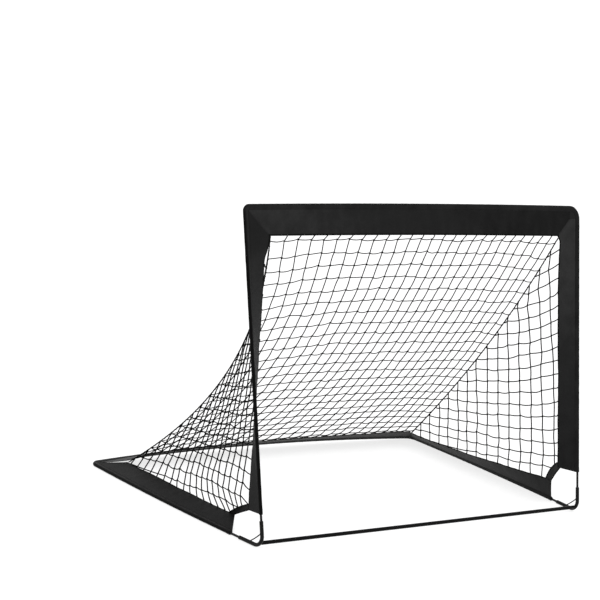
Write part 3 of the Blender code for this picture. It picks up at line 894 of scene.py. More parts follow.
class Sleeve:
    """A band on a line between two stops, each a hem's distance or a corner."""

    def __init__(self, word, line, start, end, seed):
        self.word, self.line, self.stops = word, line, (start, end)
        make = np.random.default_rng(seed)
        self.waves = [
            (
                make.uniform(0.6, 1.0) * size,
                2 * math.pi / (length * make.uniform(0.85, 1.15)),
                make.uniform(0, 2 * math.pi),
                make.uniform(-25, 25),
                power,
            )
            for size, length, power in (
                (0.00085, 0.46, 1.6),
                (0.00070, 0.21, 1.6),
                (0.00042, 0.095, 1.2),
                (0.00026, 0.052, 0.8),
                (0.00018, 0.031, 0.8),
            )
        ]
        self.pucker = [
            (make.uniform(0.017, 0.024), make.uniform(0, 2 * math.pi)) for _ in range(3)
        ]
        self.tube = [
            (make.uniform(0.018, 0.07), make.uniform(0, 6.28), make.integers(1, 4), make.uniform(0, 6.28))
            for _ in range(5)
        ]

    def mitre_distance(self, d, x):
        """How far from a corner's mitre, along the band, or far away for a hem."""
        room = np.full(np.broadcast(d, x).shape, 1.0)
        for stop in self.stops:
            if isinstance(stop, Corner):
                at = stop.lines[stop.which(self.line)][1]
                wide = np.maximum(self.line.widened(d, x), 0.0)
                room = np.minimum(room, np.abs(d - at) - wide / math.tan(stop.half))
        return room

    def ripple(self, d, x):
        """The cloth's waves, across its thickness."""
        fade = smooth(self.mitre_distance(d, x) / 0.035)
        rise = np.clip((x - CHANNEL_SEAM) / (BAND_WIDTH - CHANNEL_SEAM), 0.0, 1.0)
        total = 0.0
        for size, k, phase, slant, power in self.waves:
            total = total + size * rise**power * np.sin(k * d + phase + slant * x)
        (p1, f1), (p2, f2), (p3, f3) = self.pucker
        near = np.exp(-(((x - CHANNEL_SEAM - 0.002) / 0.0045) ** 2))
        total = total + 0.00016 * near * np.sin(2 * math.pi * d / p1 + f1) * np.sin(2 * math.pi * d / (p2 * 3.3) + f2)
        near = np.exp(-(((x - TAPE_EDGE + 0.001) / 0.006) ** 2))
        total = total + 0.00022 * near * np.sin(2 * math.pi * d / (p3 * 1.3) + f3)
        return total * fade

    def loose(self, d, a):
        """How far the channel's cloth stands off its mean radius."""
        fade = smooth(self.mitre_distance(d, 0.0 * d) / 0.03)
        total = 0.0
        for length, phase, around, shift in self.tube:
            total = total + np.sin(2 * math.pi * d / length + phase) * np.cos(around * a + shift)
        return 0.00007 * total * fade

    def at(self, d, x, y):
        """The point of the band at a distance d, which may run round a corner's bend up to its mitre."""
        d, x, y = np.broadcast_arrays(np.asarray(d, float), x, y)
        kept = d.copy()
        round_by = []
        for stop in self.stops:
            if isinstance(stop, Corner):
                _, at, sign = stop.lines[stop.which(self.line)]
                tangent = at + sign * stop.reach
                past = np.maximum(0.0, (tangent - d) * sign)
                kept = np.where(past > 0, tangent, kept)
                round_by.append((stop, tangent, sign, past / stop.radius))
        placed = self.line.place(kept, x, y)
        for stop, tangent, sign, angle in round_by:
            away = self.line.tangent(np.array(tangent)) * sign
            out = unit(self.line.point(np.array(tangent)) - stop.centre)
            axis = unit(np.cross(out, -away))
            placed = stop.centre + turn(placed - stop.centre, axis, angle)
        return placed

    def limits(self, x, y):
        """Where the thread at (x, y) starts and ends."""
        x, y = np.broadcast_arrays(np.asarray(x, float), y)
        found = []
        for stop, sign in zip(self.stops, (1, -1)):
            if not isinstance(stop, Corner):
                found.append(hem_at(stop, x))
                continue
            which = stop.which(self.line)
            at = stop.lines[which][1]
            normal = stop.mitre * (1 if which == 0 else -1)
            nearest = at + sign * stop.reach
            d = np.full(x.shape, nearest)
            for _ in range(14):
                off = (self.line.place(d, x, y) - stop.apex) @ normal
                step = self.line.tangent(d) @ normal
                d = d - off / step
            found.append(np.maximum(nearest, d) if sign > 0 else np.minimum(nearest, d))
        return found


def thin(x, d, sleeve):
    """The share of a tail's thickness that is left near its mitre seams, which are pulled tight."""
    room = sleeve.mitre_distance(d, x)
    share = 0.52 + 0.48 * smooth(room / 0.0035)
    return share


def tail_points(sleeve, d, x, h, upper):
    """Points of a tail's upper or lower skin."""
    wave = sleeve.ripple(d, x)
    sign = 1.0 if upper else -1.0
    return sleeve.at(d, x, wave + sign * h * thin(x, d, sleeve))


def hem_bulge(sleeve, d, x):
    """A folded hem is thicker than the band."""
    more = 1.0
    for stop, sign in zip(sleeve.stops, (1, -1)):
        if not isinstance(stop, Corner):
            room = (d - hem_at(stop, x)) * sign / math.hypot(1.0, stop[1])
            more = more + 0.42 * (1 - smooth((room - 0.0125) / 0.0022)) - 0.30 * np.exp(-(((room - 0.0105) / 0.0007) ** 2))
            more = more - 0.42 * np.exp(-((room / 0.0008) ** 2))
    return more


def stations_for(sleeve, pitch):
    """Shares of the length, closer together at a hem and at a mitre."""
    length = sleeve.line.length
    count = int(length / pitch)
    t = np.linspace(0, 1, count)
    extra = []
    for stop, base, sign in zip(sleeve.stops, (0.0, 1.0), (1, -1)):
        marks = (0.0008, 0.002, 0.0095, 0.0102, 0.0108, 0.0115, 0.0128, 0.0145, 0.017) if not isinstance(stop, Corner) else (0.0008, 0.0018, 0.0032)
        extra += [base + sign * m / length for m in marks]
    t = np.unique(np.round(np.concatenate([t, extra]), 7))
    keep = np.concatenate([[True], np.diff(t) > 0.0003 / length])
    return t[keep]


def build_tail(sleeve, name):
    """The double cloth from the channel's stitching to the bound free edge, closed all round."""
    heap = Heap("cloth")
    x = np.concatenate([TAIL_X, TAIL_X[-2::-1]])
    h = np.concatenate([TAIL_H, -TAIL_H[-2::-1]])
    low, high = sleeve.limits(x, h)
    t = stations_for(sleeve, 0.0045)
    d = low[None, :] + (high - low)[None, :] * t[:, None]
    xx = np.broadcast_to(x, d.shape)
    wave = sleeve.ripple(d, xx)
    hh = h[None, :] * thin(xx, d, sleeve) * hem_bulge(sleeve, d, xx)
    points = sleeve.at(d, xx, wave + hh)
    rows, columns = d.shape
    faces = grid_faces(rows, columns, True)
    middle = (x + np.roll(x, -1)) / 2
    tape = (middle > TAPE_EDGE - 0.0002).astype(int)
    mats = np.tile(tape, rows - 1)
    worn = np.zeros(d.shape)
    for stop, sign in zip(sleeve.stops, (1, -1)):
        if not isinstance(stop, Corner):
            worn = np.maximum(worn, np.exp(-(((d - hem_at(stop, xx)) / 0.0018) ** 2)))
    worn = np.maximum(worn, np.exp(-(((xx - BAND_WIDTH) / 0.0016) ** 2)) * 0.8)
    worn = np.maximum(worn, 0.5 * np.exp(-((sleeve.mitre_distance(d, xx) / 0.002) ** 2)))
    values = np.stack([d, xx * np.sign(h + 1e-9), worn], -1)
    heap.add(points, faces, mats, values)
    first = list(range(columns))[::-1]
    last = [(rows - 1) * columns + j for j in range(columns)]
    # end caps as strips between the upper and the lower skin
    half = len(TAIL_X)
    caps = []
    for base, flip in ((0, False), ((rows - 1) * columns, True)):
        for j in range(half - 1):
            a, b = base + j, base + j + 1
            c, e = base + (columns - j) % columns, base + columns - j - 1
            if j == half - 2:
                quad = [a, b, e]
            elif j == 0:
                quad = [a, b, e]
                quad = [base + 0, base + 1, base + columns - 1]
            else:
                quad = [a, b, e, c]
            quad = list(dict.fromkeys(quad))
            if len(quad) > 2:
                caps.append(quad if flip else quad[::-1])
    heap.faces += caps
    heap.mats += [0] * len(caps)
    sew(sleeve, heap)
    # the crossbar band and the right post band take the cloth with a painted sheen
    return heap.piece(name, [SHEEN_PAINTED_BANDS.get(name, BAND), TAPE, THREAD])


def surface_line(sleeve, d, x, upper, lift=0.0):
    """Points and normals along a line on a tail's skin."""
    d, x = np.broadcast_arrays(np.asarray(d, float), np.asarray(x, float))
    h = np.interp(x, TAIL_X, TAIL_H)
    sign = 1.0 if upper else -1.0
    hh = h * thin(x, d, sleeve) * hem_bulge(sleeve, d, x) + lift
    points = sleeve.at(d, x, sleeve.ripple(d, x) + sign * hh)
    step = sleeve.at(d, x, sleeve.ripple(d, x) + sign * (hh + 0.001))
    return points, unit(step - points)


def sew(sleeve, heap):
    """Stitch rows: on the tape, along each hem, and beside each mitre."""
    for upper in (True, False):
        for x in (0.07730,):
            low, high = sleeve.limits(np.array([x]), np.array([0.0]))
            d = np.arange(low[0] + 0.0045, high[0] - 0.0045, 0.003)
            heap_line(sleeve, heap, d, np.full(len(d), x), upper)
        for stop, sign in zip(sleeve.stops, (1, -1)):
            if isinstance(stop, Corner):
                x = np.linspace(stop.radius + 0.002, BAND_WIDTH - 0.0035, 40)
                low, high = sleeve.limits(x, 0.0 * x)
                edge = low if sign > 0 else high
                heap_line(sleeve, heap, edge + sign * 0.0030, x, upper)
            else:
                x = np.linspace(0.0135, BAND_WIDTH - 0.003, 40)
                row = hem_at(stop, x) + sign * 0.0105 * math.hypot(1.0, stop[1])
                heap_line(sleeve, heap, row, x, upper)


def heap_line(sleeve, heap, d, x, upper):
    points, normals = surface_line(sleeve, d, x, upper)
    stitches(heap, points, normals, 2)


def channel_ring(count=26):
    """The channel's outer outline from its upper lip round the rod to the lower one, and the hollow's."""
    tip = np.array([CHANNEL_SEAM, 0.00056])
    reach = np.hypot(*tip)
    lean = math.acos(SLEEVE_OUT / reach)
    begin = math.atan2(tip[1], tip[0]) + lean
    angles = np.linspace(begin, 2 * math.pi - begin, count)
    arc = np.stack([np.cos(angles), np.sin(angles)], 1) * SLEEVE_OUT
    shares = np.array([0.0, 0.10, 0.3, 0.6])
    lip = tip[None, :] + (arc[0] - tip)[None, :] * shares[:, None]
    lip[1:, 1] += np.array([0.00016, 0.00016, 0.00006])
    below = lip[::-1] * np.array([1.0, -1.0])
    outer = np.concatenate([lip, arc, below])
    inner_arc = np.stack([np.cos(angles), np.sin(angles)], 1) * SLEEVE_IN
    inside = np.array([CHANNEL_SEAM - 0.0011, 0.00010])
    inner_lip = inside[None, :] + (inner_arc[0] - inside)[None, :] * shares[:, None]
    inner = np.concatenate([inner_lip, inner_arc, inner_lip[::-1] * np.array([1.0, -1.0])])
    return outer, inner


OUTER, INNER = channel_ring()


def channel_rows(sleeve, d):
    """Rows of outer and inner points of the channel at distances d."""
    d = np.asarray(d, float)
    made = []
    for ring, loosened in ((OUTER, 1.0), (INNER, 1.0)):
        x, y = ring[:, 0], ring[:, 1]
        a = np.arctan2(y, x)
        dd = np.broadcast_to(d[:, None], (len(d), len(x)))
        for stop in sleeve.stops:
            if not isinstance(stop, Corner):
                slide = hem_at(stop, x)[None, :] - stop[0]
                dd = dd + slide * (1 - smooth(np.abs(d - stop[0]) / 0.04))[:, None]
        off = sleeve.loose(dd, np.broadcast_to(a, dd.shape)) * loosened
        weight = smooth((0.0095 - x) / 0.004)[None, :]
        r = np.hypot(x, y)[None, :]
        scale = 1 + off * weight / r
        hem = 1.0
        for stop, sign in zip(sleeve.stops, (1, -1)):
            if not isinstance(stop, Corner):
                room = (d[:, None] - stop[0]) * sign
                hem = hem + 0.055 * (1 - smooth((room - 0.0125) / 0.002)) - 0.05 * np.exp(-(((room - 0.0105) / 0.0007) ** 2))
        if ring is OUTER:
            scale = scale * hem
        made.append(sleeve.at(dd, x[None, :] * scale, y[None, :] * scale))
    return made


def channel_mesh(heap, outer, inner, d, material):
    rows, columns = outer.shape[:2]
    faces = grid_faces(rows, columns, True)
    values = np.zeros((rows, columns, 3))
    values[..., 0] = np.asarray(d)[:, None]
    around = np.concatenate([[0.0], np.cumsum(np.hypot(*np.diff(OUTER, axis=0).T))])
    values[..., 1] = around[None, :]
    # painted shade: the third value paints the channel's cloth darkest at its outer rim
    rim = np.exp(-(((OUTER[:, 0] + SLEEVE_OUT) / 0.0030) ** 2))  # the rod's cloth is darkest at the rim
    values[..., 2] = (0.4 - 2.2 * rim)[None, :]
    heap.add(outer, faces, material, values)
    n = heap.count - rows * columns
    heap.add(inner, faces[:, ::-1], material, values)
    m = n + rows * columns
    last = (rows - 1) * columns
    rims = []
    for j in range(columns):
        k = (j + 1) % columns
        rims.append([n + k, n + j, m + j, m + k])
        rims.append([n + last + j, n + last + k, m + last + k, m + last + j])
    heap.faces += rims
    heap.mats += [material] * len(rims)


def build_channel(sleeve, name):
    heap = Heap("cloth")
    ends = []
    for stop, sign in zip(sleeve.stops, (1, -1)):
        if isinstance(stop, Corner):
            at = stop.lines[stop.which(sleeve.line)][1]
            ends.append(at + sign * stop.reach)
        else:
            ends.append(float(stop[0]))
    t = stations_for(sleeve, 0.0045)
    d = ends[0] + (ends[1] - ends[0]) * t
    outer, inner = channel_rows(sleeve, d)
    channel_mesh(heap, outer, inner, d, 0)
    # the channel's stitching, on both faces, just beyond its lip
    for upper in (True, False):
        low, high = sleeve.limits(np.array([0.01115]), np.array([0.0]))
        line = np.arange(low[0] + 0.002, high[0] - 0.002, 0.003)
        points, normals = surface_line(sleeve, line, np.full(len(line), 0.01115), upper, 0.00006)
        stitches(heap, points, normals, 1)
    return heap.piece(name, [RIM_SHADED_CHANNEL, THREAD])


def build_patch(corner, first, second, name, with_tail=True, with_ring=True):
    """A corner's rounded end, from one band's tangent line to the other's: channel, tail and the mitre's seam."""
    heap = Heap("cloth")
    spread = 9
    share = np.linspace(0, 1, spread)
    rows_d = []
    for sleeve in (first, second):
        _, at, sign = corner.lines[corner.which(sleeve.line)]
        rows_d.append(at + sign * (corner.reach - share * corner.bend * corner.radius))
    if with_ring:
        one = channel_rows(first, rows_d[0])
        two = channel_rows(second, rows_d[1])
        outer = np.concatenate([one[0], two[0][-2::-1]])
        inner = np.concatenate([one[1], two[1][-2::-1]])
        crease = 1 - 0.045 * np.exp(-(((np.arange(len(outer)) - spread + 1) / 0.8) ** 2))
        middle = corner.arc(2 * (spread - 1))
        outer = middle[:, None, :] + (outer - middle[:, None, :]) * crease[:, None, None]
        d = np.concatenate([rows_d[0], rows_d[0][-1] + np.abs(rows_d[1][-2::-1] - rows_d[1][-1])])
        channel_mesh(heap, outer, inner, d, 0)
    if with_tail:
        angle = float(first.line.angle(np.array(rows_d[0][0] / first.line.length)))
        width = corner.radius / math.cos(angle) + 0.0024
        x1 = np.append(TAIL_X[TAIL_X < width - 0.0008], width)
        h1 = np.interp(x1, TAIL_X, TAIL_H)
        h1[-1] *= 0.55
        x = np.concatenate([x1, x1[::-1]])
        h = np.concatenate([h1, -h1[::-1]])
        parts = []
        for sleeve, dd in ((first, rows_d[0]), (second, rows_d[1])):
            room = np.abs(dd - dd[-1])
            tight = 0.52 + 0.48 * smooth(room / 0.0035)
            grid_d = np.broadcast_to(dd[:, None], (spread, len(x)))
            wave = sleeve.ripple(grid_d, np.broadcast_to(x, grid_d.shape))
            parts.append(sleeve.at(grid_d, x[None, :], wave + h[None, :] * tight[:, None]))
        points = np.concatenate([parts[0], parts[1][-2::-1]])
        rows, columns = points.shape[:2]
        faces = grid_faces(rows, columns, True)
        values = np.zeros((rows, columns, 3))
        values[..., 0] = (np.arange(rows) * 0.0025)[:, None]
        values[..., 1] = (x * np.sign(h))[None, :]
        values[..., 2] = 0.5 * np.exp(-(((np.arange(rows) - spread + 1) / 0.9) ** 2))[:, None]
        heap.add(points, faces, 0, values)
        n = heap.count - rows * columns
        half = len(x1)
        caps = []
        for base, flip in ((n, False), (n + (rows - 1) * columns, True)):
            for j in range(half - 1):
                quad = [base + j, base + j + 1, base + columns - 2 - j, base + columns - 1 - j]
                caps.append(quad if flip else quad[::-1])
        heap.faces += caps
        heap.mats += [0] * len(caps)
        for upper in (True, False) if width > 0.016 else ():
            for sleeve, dd in ((first, rows_d[0]), (second, rows_d[1])):
                sign = math.copysign(1.0, dd[0] - dd[-1])
                xs = np.linspace(0.0125, width - 0.002, 14)
                room = 0.0030 * corner.radius / np.maximum(corner.radius - xs * math.cos(angle), 0.004)
                d = dd[-1] + sign * np.minimum(room, abs(dd[0] - dd[-1]) * 0.9)
                points, normals = surface_line(sleeve, d, xs, upper)
                stitches(heap, points, normals, 1)
    return heap.piece(name, [BAND, THREAD])


CROSS_BAND = Sleeve("crossbar", CROSS, TOP[-1], TOP[1], 11)
REAR_BAND = Sleeve("rear", REAR, BACK[-1], BACK[1], 12)
POST_BAND = {s: Sleeve("post", POSTS[s], (HEM[s], HEM_SLANT[s]), TOP[s], 13 + s) for s in (-1, 1)}
SIDE_BAND = {s: Sleeve("side", SIDES[s], (SIDE_FRONT[s], SIDE_SLANT[s]), BACK[s], 17 + s) for s in (-1, 1)}
FLAT = BAND_WIDTH - CHANNEL_SEAM + 0.001


def flat_area(sleeve):
    low, high = sleeve.limits(np.array([CHANNEL_SEAM, BAND_WIDTH]), np.zeros(2))
    lengths = high - low
    width = FLAT + float(sleeve.line.extra(np.array(0.5)))
    return width, width * float(lengths.mean()), float(lengths.max())


def declare_tail(sleeve):
    width, area, length = flat_area(sleeve)


channel = build_channel(CROSS_BAND, "crossbar_channel")
tail = build_tail(CROSS_BAND, "crossbar_band")
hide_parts("crossbar_sleeve")
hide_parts("crossbar_sleeve")
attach(channel, "mouth_frame")
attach(tail, "mouth_frame")
for s, word in NAMES.items():
    patch = build_patch(TOP[s], POST_BAND[s], CROSS_BAND, f"top_corner_{word}")
    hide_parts(f"top_corner_patch_{word}")
    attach(patch, "mouth_frame")
declare_tail(CROSS_BAND)

for s, word in NAMES.items():
    channel = build_channel(POST_BAND[s], f"post_channel_{word}")
    tail = build_tail(POST_BAND[s], f"post_band_{word}")
    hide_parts(f"post_sleeve_{word}")
    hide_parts(f"post_sleeve_{word}")
    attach(channel, "mouth_frame")
    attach(tail, "mouth_frame")
    tuple(POSTS[s].point(np.array(0.4)))
    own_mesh(tail)
    declare_tail(POST_BAND[s])


def press_down(piece):
    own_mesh(piece)


for s, word in NAMES.items():
    ring = build_patch(BACK[s], SIDE_BAND[s], REAR_BAND, f"rear_corner_channel_{word}", with_tail=False)
    flap = build_patch(BACK[s], SIDE_BAND[s], REAR_BAND, f"rear_corner_{word}", with_ring=False)
    for piece in (ring, flap):
        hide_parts(f"rear_corner_patch_{word}")
        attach(piece, "ground_frame")
    press_down(flap)
    channel = build_channel(SIDE_BAND[s], f"side_channel_{word}")
    tail = build_tail(SIDE_BAND[s], f"side_band_{word}")
    for piece in (channel, tail):
        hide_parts(f"side_sleeve_{word}")
        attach(piece, "ground_frame")
    press_down(tail)
    declare_tail(SIDE_BAND[s])
channel = build_channel(REAR_BAND, "rear_channel")
tail = build_tail(REAR_BAND, "rear_band")
for piece in (channel, tail):
    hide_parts("rear_sleeve")
    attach(piece, "ground_frame")
press_down(tail)
declare_tail(REAR_BAND)


# ---------------------------------------------------------------- rods, elbows, wires and the front bar
def rod_line(line, steps):
    d = ROD_START + (line.length - 2 * ROD_START) * np.arange(steps + 1) / steps
    return line.point(d)


rods = [
    ("crossbar", "crossbar_rod", rod_line(CROSS, 24), "mouth_frame"),
    ("rear_ground", "rear_rod", rod_line(REAR, 48), "ground_frame"),
]
for s, word in NAMES.items():
    rods.append((f"post_{word}", f"post_rod_{word}", rod_line(POSTS[s], 12), "mouth_frame"))
    rods.append((f"side_{word}", f"side_rod_{word}", rod_line(SIDES[s], 36), "ground_frame"))
for word, node, points, body in rods:
    piece = round_piece(f"glass_rod_{word}", points, 0.0034, 0.0, 28, GLASS, rim=0.0005)
    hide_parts(node)
    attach(piece, body)

for s, word in NAMES.items():
    route = Poly(FRONT[s].route(ELBOW_POST_LEG, ELBOW_SIDE_LEG, 40, 8))
    fine = np.unique(np.concatenate([
        np.linspace(0, ELBOW_POST_LEG - FRONT[s].reach, 14),
        np.linspace(ELBOW_POST_LEG - FRONT[s].reach, route.length - ELBOW_SIDE_LEG + FRONT[s].reach, 48),
        np.linspace(route.length - ELBOW_SIDE_LEG + FRONT[s].reach, route.length, 18),
    ]))

    def rubbed(at, total=route.length):
        rims = math.exp(-((at / 0.0016) ** 2)) + math.exp(-(((total - at) / 0.0016) ** 2))
        bend = 0.35 * math.exp(-(((at - ELBOW_POST_LEG + 0.004) / 0.02) ** 2))
        return min(1.0, rims + bend)

    piece = round_piece(
        f"elbow_{word}", route.at(fine), ELBOW_R * 0.9985, BORE_R, 40, ELBOW, rim=0.0007, worn=rubbed, reference=AX
    )
    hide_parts(f"front_elbow_{word}")
    ground_end = FRONT[s].on(1, FRONT[s].reach)
    post_end = FRONT[s].on(0, FRONT[s].reach)
    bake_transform(piece)

    up, back = FRONT[s].on(0, WIRE_UP), FRONT[s].on(1, WIRE_BACK)
    run = unit(back - up)
    lift = (ELBOW_R * 0.86) / math.sin(math.acos(float(run @ -FRONT[s].a)))
    drop = (ELBOW_R * 0.86) / math.sin(math.acos(float(run @ FRONT[s].b)))
    one, two = up + run * lift, back - run * drop
    k = np.linspace(0, 1, 25)
    bow = unit(FRONT[s].apex - (one + two) / 2)
    wire = one + (two - one) * k[:, None] + bow * (0.0011 * np.sin(np.pi * k))[:, None]
    piece = round_piece(f"wire_{word}", wire, WIRE_R * 1.35, 0.0, 16, STEEL, rim=0.0002, reference=AX)
    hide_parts(f"restraint_wire_{word}")
    tuple(two)
    tuple(one)
    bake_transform(piece)

bar_at = FRONT[1].arc(2)[1]
bar_end = bar_at[0] - ELBOW_R - 0.0004
k = np.linspace(-1, 1, 41)
bar = np.stack([bar_end * k, 0 * k + bar_at[1], 0 * k + bar_at[2]], 1)
piece = round_piece(
    "ground_bar", bar, BAR_R * 1.2, BAR_BORE, 40, BAR, rim=0.0006,
    worn=lambda at: math.exp(-((at / 0.006) ** 2)) + math.exp(-(((2 * bar_end - at) / 0.006) ** 2)),
)
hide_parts("front_bar")
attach(piece, "ground_frame")
for s, word in NAMES.items():
    k = np.linspace(0, 1, 5)[:, None]
    a = np.array([s * (bar_end + 0.0009), bar_at[1], bar_at[2]])
    b = np.array([s * (bar_end - 0.030), bar_at[1], bar_at[2]])
    piece = round_piece(f"bar_spigot_{word}", a + (b - a) * k, 0.0027, 0.0, 24, STEEL, rim=0.0002)
    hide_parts(f"bar_plug_{word}")
    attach(piece, "ground_frame")
    for node in (f"top_corner_tube_{word}", f"rear_corner_tube_{word}"):
        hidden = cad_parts[node]
        hidden.data.materials.clear()
        hidden.data.materials.append(ELBOW)


# ---------------------------------------------------------------- net
def edge_point(line, d, clear=0.0):
    d = np.asarray(d, float)
    return line.place(d, BAND_WIDTH + clear + 0 * d, 0 * d)


def mitre_at(corner, which, clear):
    line, at, sign = corner.lines[which]
    width = BAND_WIDTH + float(line.extra(np.array(at / line.length))) + clear
    return at + sign * width / math.tan(corner.half)


def seam_points(side, count):
    """The side cord's line, from the top corner to the rear ground corner."""
    start = edge_point(POSTS[side], mitre_at(TOP[side], 0, 0.001) - SEAM_DROP[side], 0.001)
    end = edge_point(SIDES[side], mitre_at(BACK[side], 0, 0.002), 0.002) + AZ * 0.001
    chord = end - start
    sag = np.cross(chord, AX)
    sag = unit(sag if sag[1] < 0 else -sag)
    t = np.linspace(0, 1, count)
    bulge = 4 * t * (1 - t)
    down = SEAM_SAG * bulge * (1 + SEAM_SKEW * (2 * t - 1))
    return start + chord * t[:, None] + sag * down[:, None] - AX * (side * SEAM_PULL[side] * bulge)[:, None]


SEAM = {s: Poly(seam_points(s, 161)) for s in (-1, 1)}
HEM_DEPTH = 0.004  # the strands' ends are sewn in this far under the tape
LEVEL_FIRST = {-1: -0.030, 1: -0.034}  # the highest level strand, from the top of the post's free edge
UPRIGHT_FIRST = {-1: 0.020, 1: 0.062}  # the first upright, from the post's free edge
UPRIGHT_DRAW = 1.15
# the uprights' spacing, up to each distance: over the strap, over the panel's middle, and behind it
UPRIGHT_STEP = {-1: (0.0275, 0.0310, 0.0325), 1: (0.049, 0.046, 0.0415)}

lo, hi = mitre_at(TOP[-1], 1, 0.0), mitre_at(TOP[1], 1, 0.0)
TOP_EDGE = Poly(edge_point(CROSS, np.linspace(lo, hi, 121)))
lo, hi = mitre_at(BACK[-1], 1, 0.0), mitre_at(BACK[1], 1, 0.0)
LOW_EDGE = Poly(edge_point(REAR, np.linspace(lo, hi, 121)))


def back_point(u, v):
    """The back net: u across from left to right, v down from the crossbar to the rear band."""
    u, v = np.broadcast_arrays(np.asarray(u, float), np.asarray(v, float))
    top, low = TOP_EDGE.share(u), LOW_EDGE.share(u)
    chord = low - top
    n = np.cross(chord, np.broadcast_to(AX, chord.shape))
    n = unit(np.where(n[..., 1:2] < 0, n, -n))
    bulge = 4 * v * (1 - v)
    inner = top + chord * v[..., None] + n * (NET_SAG * bulge * (1 + SEAM_SKEW * (2 * v - 1)))[..., None]
    # drawn to the cords at both sides
    left, right = SEAM[-1].share(v), SEAM[1].share(v)
    zero, one = np.zeros(u.shape), np.ones(u.shape)
    def plain(w):
        t, l = TOP_EDGE.share(w), LOW_EDGE.share(w)
        c = l - t
        m = np.cross(c, np.broadcast_to(AX, c.shape))
        m = unit(np.where(m[..., 1:2] < 0, m, -m))
        return t + c * v[..., None] + m * (NET_SAG * bulge * (1 + SEAM_SKEW * (2 * v - 1)))[..., None]
    gap_left, gap_right = left - plain(zero), right - plain(one)
    return inner + gap_left * (1 - u)[..., None] + gap_right * u[..., None]


BACK_START = LOW_EDGE.share(0.5)
BACK_END = TOP_EDGE.share(0.5)
BACK_RUN = BACK_END - BACK_START
BACK_START = BACK_START - BACK_RUN * 0.05
BACK_END = BACK_END - BACK_RUN * 0.05


def back_weight(points):
    run = BACK_END - BACK_START
    return smooth(((points - BACK_START) @ run) / (run @ run))


def slack(points, depth, jitter, make):
    """A strand through knots, with two points more in each span, hanging and shifting a little."""
    points = np.asarray(points, float)
    span = np.diff(points, axis=0)
    length = np.linalg.norm(span, axis=1, keepdims=True)
    out = [points[0]]
    swing = make.normal(0, jitter, (len(span), 3))
    for i in range(len(span)):
        for share in (0.33, 0.67):
            bulge = 4 * share * (1 - share)
            level = np.linalg.norm(span[i][:2]) / max(length[i, 0], 1e-6)
            sag = np.array([0, 0, -depth * bulge * level])
            out.append(points[i] + span[i] * share + sag + swing[i] * bulge)
        out.append(points[i + 1])
    return np.array(out)


def knot_template():
    """A lumpy knot: a rounded form with the twine's turns standing out."""
    steps, rings = 8, 5
    rows = [np.array([[0, 0, 1.0]])]
    for r in range(1, rings):
        b = math.pi * r / rings
        a = 2 * math.pi * (np.arange(steps) + 0.5 * (r % 2)) / steps
        lump = 1 + 0.16 * np.sin(3 * a + 2.2 * b)
        rows.append(np.stack([np.sin(b) * np.cos(a) * lump, np.sin(b) * np.sin(a) * lump, np.full(steps, math.cos(b))], 1))
    rows.append(np.array([[0, 0, -1.0]]))
    verts = np.concatenate(rows)
    faces = []
    for j in range(steps):
        k = (j + 1) % steps
        faces.append([0, 1 + j, 1 + k])
        for r in range(rings - 2):
            a, b = 1 + r * steps, 1 + (r + 1) * steps
            faces.append([a + j, b + j, b + k, a + k])
        last = 1 + (rings - 2) * steps
        faces.append([last + j, len(verts) - 1, last + k])
    return verts, faces


KNOT_V, KNOT_F = knot_template()
KNOT_F3 = np.array([f for f in KNOT_F if len(f) == 3])
KNOT_F4 = np.array([f for f in KNOT_F if len(f) == 4])


def add_knots(heap, centres, one, two, make):
    """A knot at each centre, turned to its two strands."""
    centres = np.asarray(centres, float)
    if not len(centres):
        return
    x, y = unit(np.asarray(one, float)), unit(np.asarray(two, float))
    z = unit(np.cross(x, y))
    y = np.cross(z, x)
    size = KNOT_R * make.uniform(0.82, 1.15, (len(centres), 1, 1))
    spin = make.uniform(-0.5, 0.5, len(centres))
    c, s = np.cos(spin)[:, None], np.sin(spin)[:, None]
    xr, yr = x * c + y * s, y * c - x * s
    shape = (
        KNOT_V[None, :, 0:1] * xr[:, None, :] * 1.10
        + KNOT_V[None, :, 1:2] * yr[:, None, :] * 0.95
        + KNOT_V[None, :, 2:3] * z[:, None, :] * 0.80
    )
    verts = centres[:, None, :] + shape * size
    values = np.zeros(verts.shape)
    values[..., 0] = KNOT_V[None, :, 1] * 0.004
    values[..., 1] = KNOT_V[None, :, 0]
    values[..., 2] = KNOT_V[None, :, 2]
    n = len(KNOT_V)
    shift = (np.arange(len(centres)) * n)[:, None, None]
    base = heap.count
    heap.verts.append(verts.reshape(-1, 3))
    heap.values.append(values.reshape(-1, 3))
    for group in (KNOT_F3, KNOT_F4):
        made = (group[None] + shift + base).reshape(-1, group.shape[1]).tolist()
        heap.faces += made
        heap.mats += [0] * len(made)
    heap.count += len(centres) * n


